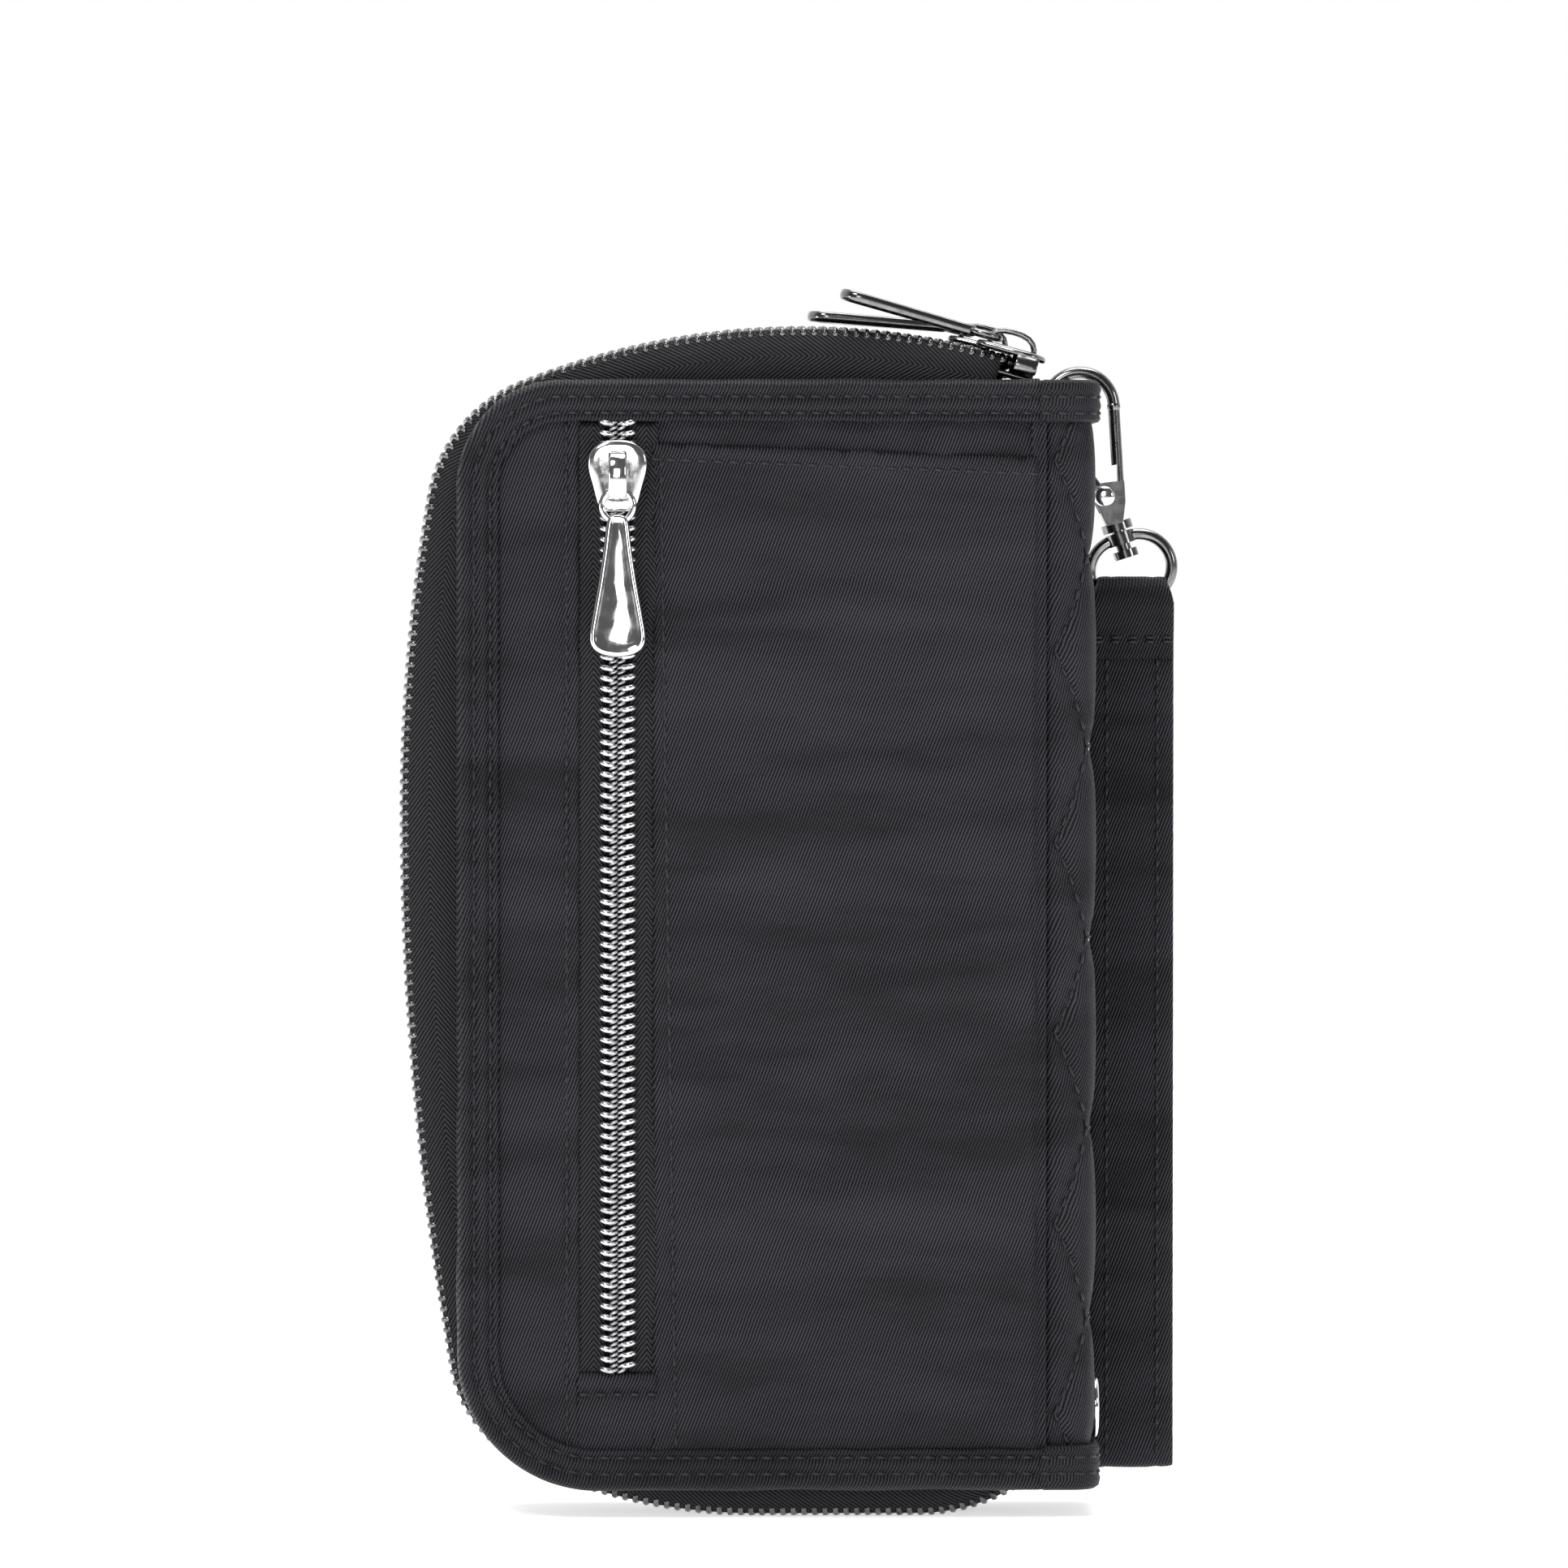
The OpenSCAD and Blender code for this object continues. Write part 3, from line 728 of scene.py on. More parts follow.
def swept(name: str, track: Track, profile: Callable[[int], Array], start: int = 0,
          stop: Optional[int] = None) -> Piece:
    """Makes a solid whose cross-section follows a track.

    Args:
        name: The piece's name.
        track: Where it runs.
        profile: Gives the section at place i, as rows of inset and y in millimetres.
        start: First place used.
        stop: One past the last place used.
    Returns:
        The new object, with a UV map of distance along and distance across.
    """
    stop = stop or len(track.at)
    rings, uvs = [], []
    for i in range(start, stop):
        section = np.asarray(profile(i), float)
        flat = track.at[i] + section[:, :1] * track.inward[i]
        rings.append(np.stack([flat[:, 0], section[:, 1], flat[:, 1]], 1))
        across = distances(section)
        uvs.append(np.stack([np.full(len(section), track.run[i]), across], 1) * MM)
    return tube_piece(name, np.array(rings), np.array(uvs))


# ---------------------------------------------------------------- rows of small things
class Element(Enum):
    """What a row repeats."""

    STITCH = "stitch"
    COIL = "coil_turn"


@dataclass(frozen=True)
class Row:
    """A row of one small thing along a line, built with Geometry Nodes.

    Attributes:
        element: What is repeated.
        pitch: Distance between them in millimetres.
        length: Size along the row for a stitch, or wire diameter for a coil, in millimetres.
        width: Size across the row in millimetres.
        height: Size out of the surface in millimetres.
        lean: Turn of each one about the surface's normal, in degrees.
    """

    element: Element
    pitch: float
    length: float
    width: float
    height: float
    lean: float = 0.0

    def tree(self) -> Tree:
        """Builds the tree that turns a chain of edges into the row.

        Returns:
            The Geometry Nodes tree.
        """
        made = bpy.data.node_groups.new(f"row_of_{self.element.value}", "GeometryNodeTree")
        face = made.interface
        face.new_socket("Geometry", in_out="INPUT", socket_type="NodeSocketGeometry")
        for name in ("Pitch", "Length", "Width", "Height", "Lean"):
            face.new_socket(name, in_out="INPUT", socket_type="NodeSocketFloat")
        face.new_socket("Material", in_out="INPUT", socket_type="NodeSocketMaterial")
        face.new_socket("Geometry", in_out="OUTPUT", socket_type="NodeSocketGeometry")
        graph = Graph(made)
        source = graph.add("NodeGroupInput")
        sink = graph.add("NodeGroupOutput")
        curve = graph.add("GeometryNodeMeshToCurve", {"Mesh": source.outputs["Geometry"]})
        points = graph.add("GeometryNodeResampleCurve", {"Curve": curve.outputs[0],
                                                         "Length": source.outputs["Pitch"]}, mode="LENGTH")
        up = graph.add("GeometryNodeInputNamedAttribute", {"Name": "up"}, data_type="FLOAT_VECTOR")
        ahead = graph.add("GeometryNodeInputTangent")
        turn = graph.add("FunctionNodeAxesToRotation", {"Primary Axis": ahead.outputs[0],
                                                        "Secondary Axis": up.outputs["Attribute"]},
                         primary_axis="X", secondary_axis="Z")
        size = graph.add("ShaderNodeCombineXYZ")
        if self.element is Element.STITCH:
            shape = graph.add("GeometryNodeMeshUVSphere", {"Segments": 10, "Rings": 6, "Radius": 0.5}).outputs[0]
            for axis, key in zip("XYZ", ("Length", "Width", "Height")):
                graph.put(source.outputs[key], size.inputs[axis])
        else:
            shape = self.coil(graph, source)
            size.inputs["X"].default_value = size.inputs["Y"].default_value = size.inputs["Z"].default_value = 1.0
        leaned = graph.add("ShaderNodeCombineXYZ")
        graph.put(source.outputs["Lean"], leaned.inputs["Z"])
        shaped = graph.add("GeometryNodeTransform", {"Geometry": shape, "Scale": size.outputs[0]})
        tilted = graph.add("GeometryNodeTransform", {"Geometry": shaped.outputs[0], "Rotation": leaned.outputs[0]})
        placed = graph.add("GeometryNodeInstanceOnPoints", {"Points": points.outputs[0],
                                                            "Instance": tilted.outputs[0],
                                                            "Rotation": turn.outputs[0]})
        solid = graph.add("GeometryNodeRealizeInstances", {"Geometry": placed.outputs[0]})
        smooth = graph.add("GeometryNodeSetShadeSmooth", {"Geometry": solid.outputs[0]})
        dressed = graph.add("GeometryNodeSetMaterial", {"Geometry": smooth.outputs[0],
                                                        "Material": source.outputs["Material"]})
        graph.put(dressed.outputs[0], sink.inputs[0])
        return made

    def coil(self, graph: Graph, source: Node) -> Socket:
        """Adds one flattened turn of a coil, lying across the row.

        Args:
            graph: The row's graph.
            source: Its group input.
        Returns:
            The turn's mesh.
        """
        ring = graph.add("GeometryNodeCurvePrimitiveCircle", {"Resolution": 16, "Radius": 0.5}, mode="RADIUS")
        size = graph.add("ShaderNodeCombineXYZ", {"Z": 1.0})
        graph.put(source.outputs["Width"], size.inputs["Y"])
        graph.put(source.outputs["Height"], size.inputs["X"])
        flat = graph.add("GeometryNodeTransform", {"Geometry": ring.outputs[0], "Scale": size.outputs[0]})
        stood = graph.add("GeometryNodeTransform", {"Geometry": flat.outputs[0], "Rotation": (0, math.pi / 2, 0)})
        half = graph.math("MULTIPLY", source.outputs["Length"], 0.5)
        wire = graph.add("GeometryNodeCurvePrimitiveCircle", {"Resolution": 7}, mode="RADIUS")
        graph.put(half, wire.inputs["Radius"])
        return graph.add("GeometryNodeCurveToMesh", {"Curve": stood.outputs[0],
                                                     "Profile Curve": wire.outputs[0]}).outputs[0]

    def lay(self, name: str, lines: Sequence[tuple[Array, Array]], finish: Finish) -> Piece:
        """Lays the row along lines.

        Args:
            name: The piece's name.
            lines: Pairs of places and directions out of the surface, in millimetres, one row each.
            finish: What the row is made of.
        Returns:
            The row as plain faces.
        """
        verts, edges, ups = [], [], []
        for places, out in lines:
            first = len(verts)
            verts.extend((np.asarray(places) * MM).tolist())
            ups.extend(np.broadcast_to(out, np.shape(places)).tolist())
            edges.extend((first + i, first + i + 1) for i in range(len(places) - 1))
        mesh = bpy.data.meshes.new(name)
        mesh.from_pydata(verts, edges, [])
        mesh.attributes.new("up", "FLOAT_VECTOR", "POINT").data.foreach_set("vector", np.array(ups, float).ravel())
        made = placed(name, mesh)
        modifier = made.modifiers.new("row", "NODES")
        modifier.node_group = self.tree()
        values = {"Pitch": self.pitch * MM, "Length": self.length * MM, "Width": self.width * MM,
                  "Height": self.height * MM, "Lean": math.radians(self.lean), "Material": finish.material()}
        for item in modifier.node_group.interface.items_tree:
            if item.in_out == "INPUT" and item.name in values:
                modifier[item.identifier] = values[item.name]
        return baked(made)


STITCH = Row(Element.STITCH, 2.6, 1.9, 0.7, 0.62)
SMALL_STITCH = Row(Element.STITCH, 2.3, 1.7, 0.62, 0.55)
SEAM_STITCH = Row(Element.STITCH, 2.5, 1.85, 0.62, 0.55)
BACKWARD, FORWARD = (0.0, -1.0, 0.0), (0.0, 1.0, 0.0)


def sew(name: str, row: Row, lines: Sequence[tuple[Array, Array]], body: str) -> None:
    """Lays rows of stitches along lines, as a piece that moves with body."""
    finish_piece(row.lay(name, lines, THREAD), body, THREAD)


def stitch_line(points: Sequence[Sequence[float]], out: Sequence[float], step: float = 1.5) -> tuple[Array, Array]:
    """Spaces places evenly along straight pieces.

    Args:
        points: Corners in millimetres.
        out: Direction out of the surface.
        step: Distance between the places.
    Returns:
        The places and the direction.
    """
    data = np.asarray(points, float)
    run = np.concatenate([[0], np.cumsum(np.linalg.norm(np.diff(data, axis=0), axis=1))])
    where = np.linspace(0, run[-1], max(2, int(run[-1] / step)))
    return np.stack([np.interp(where, run, data[:, i]) for i in range(3)], 1), np.asarray(out, float)


# ---------------------------------------------------------------- flat and quilted panels
def inside(points: Array, outline: Array) -> Array:
    """Tests points against an outline.

    Args:
        points: The points, one row each.
        outline: The closed outline.
    Returns:
        True for each point inside.
    """
    x, z = points[:, :1], points[:, 1:]
    x0, z0 = outline[:, 0], outline[:, 1]
    x1, z1 = np.roll(x0, -1), np.roll(z0, -1)
    rising = (z0 > z) != (z1 > z)
    with np.errstate(divide="ignore", invalid="ignore"):
        crossing = x < (x1 - x0) * (z - z0) / (z1 - z0) + x0
    return (rising & crossing).sum(1) % 2 == 1


def nearest(points: Array, others: Array) -> Array:
    """Measures points against others.

    Args:
        points: The points, one row each.
        others: The others.
    Returns:
        Distance of each point from the nearest other.
    """
    if not len(others):
        return np.full(len(points), 1e3)
    return np.concatenate([np.sqrt(((chunk[:, None] - others[None]) ** 2).sum(2)).min(1)
                           for chunk in np.array_split(points, max(1, len(points) // 500))])


def rounded_box(x0: float, z0: float, x1: float, z1: float, radius: float = 0.8, step: float = 1.4) -> Array:
    """Makes an anticlockwise outline of a box with rounded corners.

    Args:
        x0: Left side.
        z0: Lower side.
        x1: Right side.
        z1: Upper side.
        radius: Radius of its corners.
        step: Distance between its points.
    Returns:
        The outline.
    """
    corners = []
    for cx, cz, first in ((x1 - radius, z0 + radius, 270), (x1 - radius, z1 - radius, 0),
                          (x0 + radius, z1 - radius, 90), (x0 + radius, z0 + radius, 180)):
        corners += [(cx + radius * cosd(first + a), cz + radius * sind(first + a)) for a in (0, 30, 60, 90)]
    return even_loop(np.array(corners), step)


def even_loop(points: Array, step: float) -> Array:
    """Adds points between those of a closed outline.

    Args:
        points: Its points, all of which are kept.
        step: Distance between the points made.
    Returns:
        The fuller outline.
    """
    made = []
    for here, there in zip(points, np.roll(points, -1, axis=0)):
        count = max(1, int(round(np.hypot(*(there - here)) / step)))
        made += [here + (there - here) * k / count for k in range(count)]
    return np.array(made)


@dataclass
class Panel:
    """A piece of sheet with a shaped outline, modelled as a closed slab in the X-Z plane.

    Attributes:
        name: The piece's name.
        outline: Points of its edge in the X-Z plane, in millimetres.
        back: The y of its hidden face.
        face: Gives the y of its shown face at arrays of x and z.
        spacing: Distance between its points.
        seams: Places on its seams, which its points follow.
        roll: Width of its rounded rim in millimetres.
        flat: Its points in the plane, found by mesh_flat.
        faces: Its triangles, found by mesh_flat.
    """

    name: str
    outline: Array
    back: float
    face: Callable[[Array, Array], Array]
    spacing: float = 2.0
    seams: Sequence[Array] = ()
    roll: float = 0.35
    flat: Array = field(init=False)
    faces: list = field(init=False)

    def mesh_flat(self) -> None:
        """Fills the outline with triangles that follow the seams."""
        low, high = self.outline.min(0), self.outline.max(0)
        xs = np.arange(low[0] + self.spacing / 2, high[0], self.spacing)
        zs = np.arange(low[1] + self.spacing / 2, high[1], self.spacing * 0.87)
        grid = np.array([(x + (k % 2) * self.spacing / 2, z) for k, z in enumerate(zs) for x in xs])
        ahead = np.roll(self.outline, -1, axis=0) - np.roll(self.outline, 1, axis=0)
        side = np.stack([-ahead[:, 1], ahead[:, 0]], 1) / np.linalg.norm(ahead, axis=1)[:, None]
        rim = self.outline + side * self.roll
        if inside(rim, self.outline).mean() <= 0.5:
            rim = self.outline - side * self.roll
        seam = [line[inside(line, self.outline) & (nearest(line, self.outline) > 0.5)] for line in self.seams]
        fixed = np.concatenate([self.outline, *seam]) if seam else self.outline
        grid = grid[inside(grid, self.outline) & (nearest(grid, fixed) > self.spacing * 0.55)]
        rim = rim[inside(rim, self.outline)]
        if seam:
            rim = rim[nearest(rim, np.concatenate(seam)) > 0.4]
        points = np.concatenate([self.outline, rim, *seam, grid])
        count = len(self.outline)
        edges = [(i, (i + 1) % count) for i in range(count)]
        first = count + len(rim)
        for line in seam:
            edges += [(first + i, first + i + 1) for i in range(len(line) - 1)
                      if np.hypot(*(line[i + 1] - line[i])) < self.spacing * 1.6]
            first += len(line)
        found = delaunay_2d_cdt([Vector(p) for p in points], edges, [list(range(count))], 1, 1e-5)
        self.flat = np.array([tuple(v) for v in found[0]])
        self.faces = [tuple(f) for f in found[2]]

    def slab(self, shown: Array, hidden: Array, uvs: Optional[Array] = None) -> Piece:
        """Makes a closed solid of the flat mesh.

        Args:
            shown: Its points on the shown face.
            hidden: Its points on the hidden face.
            uvs: Two numbers per point; its places in the plane if left out.
        Returns:
            The new object.
        """
        count = len(self.flat)
        used: dict[tuple[int, int], int] = {}
        for face in self.faces:
            for a, b in zip(face, face[1:] + face[:1]):
                used[(a, b)] = used.get((a, b), 0) + 1
        walls = [(b, a, a + count, b + count) for a, b in used if (b, a) not in used]
        faces = list(self.faces) + [tuple(i + count for i in face[::-1]) for face in self.faces] + walls
        uvs = self.flat * MM if uvs is None else uvs
        return outward(mesh_piece(self.name, np.concatenate([shown, hidden]), faces, np.concatenate([uvs, uvs])))

    def build(self) -> Piece:
        """Builds the panel as a closed slab with a rounded rim.

        Returns:
            The new object.
        """
        self.mesh_flat()
        x, z = self.flat[:, 0], self.flat[:, 1]
        y = np.asarray(self.face(x, z), float) + 0 * x
        near = np.clip(nearest(self.flat, self.outline) / max(self.roll, 1e-3), 0, 1)
        y = self.back + (y - self.back) * (0.45 + 0.55 * near)
        return self.slab(np.stack([x, y, z], 1), np.stack([x, 0 * x + self.back, z], 1))


@dataclass
class Quilt(Panel):
    """A padded panel that swells between its seams.

    Attributes:
        puff: Height of the padding between the seams in millimetres.
        outer: How far out the seams lie from the hidden face.
    """

    SHOULDER = 2.2  # how fast the formula rises from a seam, in millimetres
    SIMULATED = 0.55  # share of the simulation in the finished height
    MOST_DRIFT = 1.5  # furthest a point may move sideways, in millimetres
    SCALE = 0.01  # simulation units in a millimetre
    FRAMES = 22
    RULES = {"vertex_group_mass": "seams", "quality": 6, "mass": 0.3, "tension_stiffness": 12,
             "compression_stiffness": 12, "shear_stiffness": 4, "bending_stiffness": 0.4, "tension_damping": 8,
             "compression_damping": 8, "air_damping": 6, "shrink_min": -0.012, "use_pressure": True,
             "uniform_pressure_force": 1.6}

    puff: float = 1.7
    outer: float = 0.8

    def heights(self) -> tuple[Array, Array]:
        """Works out the padding's shape by cloth simulation mixed with a formula, or by formula alone where the
        simulation barely swells.

        Returns:
            Flat places and their heights above the seams.
        """
        self.mesh_flat()
        gap = nearest(self.flat, np.concatenate([self.outline, *self.seams]))
        plain = self.puff * (1 - np.exp(-gap / self.SHOULDER))
        data = self.swelled(plain, gap)
        height = np.abs(data[:, 1])
        LOG.info("%s swelled to %.2f mm", self.name, height.max())
        top = np.percentile(height, 98)
        height = height * (self.puff / max(top, 1e-3)) if top > 0.05 else plain
        height = self.SIMULATED * height + (1 - self.SIMULATED) * plain
        moved = data[:, [0, 2]]
        return (np.where(np.abs(moved - self.flat) < self.MOST_DRIFT, moved, self.flat),
                np.minimum(height, 1.06 * self.puff))

    def swelled(self, plain: Array, gap: Array) -> Array:
        """Blows the cloth up under its seams in a cloth simulation.

        Args:
            plain: Heights by formula, a quarter of which it starts from.
            gap: Distance of each point from the nearest seam.
        Returns:
            The points after the last frame, in millimetres.
        """
        start = np.stack([self.flat[:, 0], 0.25 * plain, self.flat[:, 1]], 1)
        mesh = bpy.data.meshes.new(self.name + "_cloth")
        mesh.from_pydata((start * self.SCALE).tolist(), [], self.faces)
        cloth = placed(self.name + "_cloth", mesh)
        scene = bpy.context.scene
        cloth.vertex_groups.new(name="seams").add([int(i) for i in np.nonzero(gap < 0.3)[0]], 1.0, "REPLACE")
        modifier = cloth.modifiers.new("cloth", "CLOTH")
        for key, value in self.RULES.items():
            setattr(modifier.settings, key, value)
        modifier.settings.effector_weights.gravity = 0
        modifier.point_cache.frame_start, modifier.point_cache.frame_end = 1, self.FRAMES
        for step in range(1, self.FRAMES + 1):
            scene.frame_set(step)
        shape = cloth.evaluated_get(bpy.context.evaluated_depsgraph_get()).to_mesh()
        data = np.empty(len(shape.vertices) * 3)
        shape.vertices.foreach_get("co", data)
        bpy.data.objects.remove(cloth)
        scene.frame_set(1)
        return data.reshape(-1, 3) / self.SCALE

    def build(self) -> Piece:
        """Builds the quilted panel as a closed slab.

        Returns:
            The new object.
        """
        flat, height = self.heights()
        sign = math.copysign(1.0, self.face(0.0, 0.0) - self.back)
        shown = np.stack([flat[:, 0], self.back + sign * (self.outer + height), flat[:, 1]], 1)
        hidden = np.stack([self.flat[:, 0], 0 * height + self.back, self.flat[:, 1]], 1)
        return self.slab(shown, hidden)


def hexagon_seams(x0: float, x1: float, z0: float, z1: float, origin: tuple[float, float], side: float,
                  step: float = 1.3) -> list[Array]:
    """Returns seam lines of flat-topped hexagons over an area.

    Args:
        x0: Left limit.
        x1: Right limit.
        z0: Lower limit.
        z1: Upper limit.
        origin: A hexagon's centre.
        side: Length of its side.
        step: Distance between the points of a line.
    Returns:
        One array of places for each side of a hexagon.
    """
    pitch = side * math.sqrt(3)
    lines = []
    for column in range(-8, 9):
        cx = origin[0] + 1.5 * side * column
        for row in range(-8, 9):
            cz = origin[1] + pitch * (row + (column % 2) / 2)
            if not (x0 - side < cx < x1 + side and z0 - side < cz < z1 + side):
                continue
            corners = [np.array([cx + side * cosd(60 * k), cz + side * sind(60 * k)]) for k in range(4)]
            for here, there in zip(corners, corners[1:]):
                count = int(side / step)
                lines.append(np.array([here + (there - here) * (k + 0.5) / count for k in range(count)]))
    return lines


# ---------------------------------------------------------------- the pouch's own lines
ZIP_EDGE = Route((0.6, 0.0), 180.0, ((87.5, 25), (21, 56), (0, 10), (500, 9), (292, 10), (24, 58), (120, 38)))
ZIP_FOOT = Route((0.6, 0.0), 180.0, ((0, 26), (31, 31)))
COVER_END = 45.6  # x of the covers' straight edge along the spine
COVER_EDGE = Route((COVER_END, 4.6), 180.0, ((0, 70.4), (22, 90), (0, 137.4), (17, 90), (0, 75.4)))
COVER_FACE, BACKING_FACE, BOARD_FACE, COVER_BACK = 15.2, 13.6, 13.0, 9.8
PANEL_INSET = 5.6  # how far in the back face's panels end, under the binding's lip
UNDER_FOLD = 0.1
SPINE_X, SPINE_HALF, SPINE_R, SPINE_LEFT = 55.0, 14.5, 4.5, 46.2
SPINE_LOW, SPINE_HIGH, TOP, BOTTOM = 11.5, 174.5, 181.0, 4.6


def whole_zip(step: float, inset: float = 0.0) -> Track:
    """Follows the whole zip edge clockwise, from its lower right end to its upper right end.

    Args:
        step: Distance between places.
        inset: How far inside the edge they lie.
    Returns:
        The places and their directions.
    """
    main = ZIP_EDGE.track(step, inset)
    foot = ZIP_FOOT.track(step, inset)
    flip = np.array([-1.0, 1.0])
    at = (foot.at * flip + [1.2, 0.0])[::-1][:-1]
    ahead = (foot.ahead * [1.0, -1.0])[::-1][:-1]
    inward = (foot.inward * flip)[::-1][:-1]
    at = np.concatenate([at, main.at])
    run = distances(at)
    return Track(at, np.concatenate([ahead, main.ahead]), np.concatenate([inward, main.inward]), run)


def cover_outline(inset: float, step: float = 2.0) -> Array:
    """Makes a cover's closed outline, straight along the spine.

    Args:
        inset: How far inside the edge it lies.
        step: Distance between its points.
    Returns:
        The outline.
    """
    track = COVER_EDGE.track(step, inset)
    end = np.array([[COVER_END, z] for z in np.arange(track.at[-1][1] - step, track.at[0][1] + step / 2, -step)])
    return np.concatenate([track.at, end])


def clipped(outline: Array, x0: float, z0: float, x1: float, z1: float) -> Array:
    """Holds an outline inside a box, without repeated points.

    Args:
        outline: The outline.
        x0: Left side.
        z0: Lower side.
        x1: Right side.
        z1: Upper side.
    Returns:
        The held outline.
    """
    held = np.stack([np.clip(outline[:, 0], x0, x1), np.clip(outline[:, 1], z0, z1)], 1)
    keep = np.hypot(*(held - np.roll(held, 1, axis=0)).T) > 1e-3
    return even_loop(held[keep], 2.0)


class Side(Enum):
    """The two covers, with the sign of the y that they face."""

    BACK = -1
    FRONT = 1

    @property
    def word(self) -> str:
        """Returns the side's name as used in the frame."""
        return self.name.lower()

    @property
    def body(self) -> str:
        """Returns the CAD body of the side's cover."""
        return f"{self.word}_cover"


def noise_over(x: Array, z: Array, scale_x: float, scale_z: float, seed: float) -> Array:
    """Returns smooth noise at arrays of places, with its own size in each direction, in millimetres."""
    return np.array([uneven(a / scale_x, seed, b / scale_z) for a, b in zip(np.ravel(x), np.ravel(z))])


@dataclass
class BoundEdge:
    """The folded binding round one cover, with its two rows of stitches.

    Attributes:
        side: Which cover.
        width: Width of its lips in millimetres.
        rows: Distances of its stitch rows from its outer edge.
    """

    side: Side
    width: float = 6.5
    rows: tuple[float, float] = (2.6, 5.2)

    def lip_y(self, inset: float, run: float) -> float:
        """Works out how far out the lip lies, pulled in at its stitches and crimped between them.

        Args:
            inset: Distance from the outer edge.
            run: Distance along the edge.
        Returns:
            The distance from the mid plane.
        """
        pulled = sum(math.exp(-((inset - row) / 0.6) ** 2) for row in self.rows)
        crimp = math.cos(2 * math.pi * run / STITCH.pitch) * 0.09 * pulled
        soft = 0.22 * uneven(run / 7.0, inset / 3.0, 3.0 + self.side.value)
        crease = 0.25 * uneven(run / 2.6 + inset / 1.9, inset / 6.0, 8.0)
        return COVER_FACE + 0.4 - 0.75 * pulled + crimp + soft + crease

    def section(self, run: float) -> Array:
        """Works out the folded strip's cross-section.

        Args:
            run: Distance along the edge.
        Returns:
            Rows of inset and y.
        """
        wave = 0.3 * uneven(run / 11.0, 9.0, self.side.value)
        edge = self.width + 0.18 * uneven(run / 5.0, 4.0, 1.0)
        lip = [(d, self.lip_y(d, run)) for d in (1.0, 1.6, 2.1, 2.6, 3.1, 3.7, 4.3, 4.8, 5.2, 5.6, 6.0)]
        points = [(edge, COVER_BACK), (4.0, COVER_BACK - 0.1), (1.2, COVER_BACK), (0.35, COVER_BACK + 0.5),
                  (-0.1 + wave, 11.2), (-0.2 + wave, 12.6), (-0.05 + wave, 14.0), (0.35, 14.9), *lip,
                  (edge, self.lip_y(edge, run) - 0.3), (edge + 0.05, BACKING_FACE + 0.05),
                  (5.0, BACKING_FACE + 0.02), (0.95, BACKING_FACE), (0.95, COVER_BACK + 0.5),
                  (edge, COVER_BACK + 0.5)]
        data = np.array(points)
        data[:, 1] *= self.side.value
        return data

    def build(self) -> None:
        """Builds the binding and its stitches."""
        track = COVER_EDGE.track(0.65)
        name = f"{self.side.word}_binding"
        strip = swept(f"{name}_fold", track, lambda i: self.section(track.run[i]))
        finish_piece(strip, self.side.body, BINDING, [name])
        lines = []
        for row in self.rows:
            at = track.at + row * track.inward
            y = self.side.value * np.array([self.lip_y(row, r) + 0.08 for r in track.run])
            lines.append((np.stack([at[:, 0], y, at[:, 1]], 1)[3:-3], (0.0, self.side.value, 0.0)))
        sew(f"{name}_stitches", STITCH, lines, self.side.body)


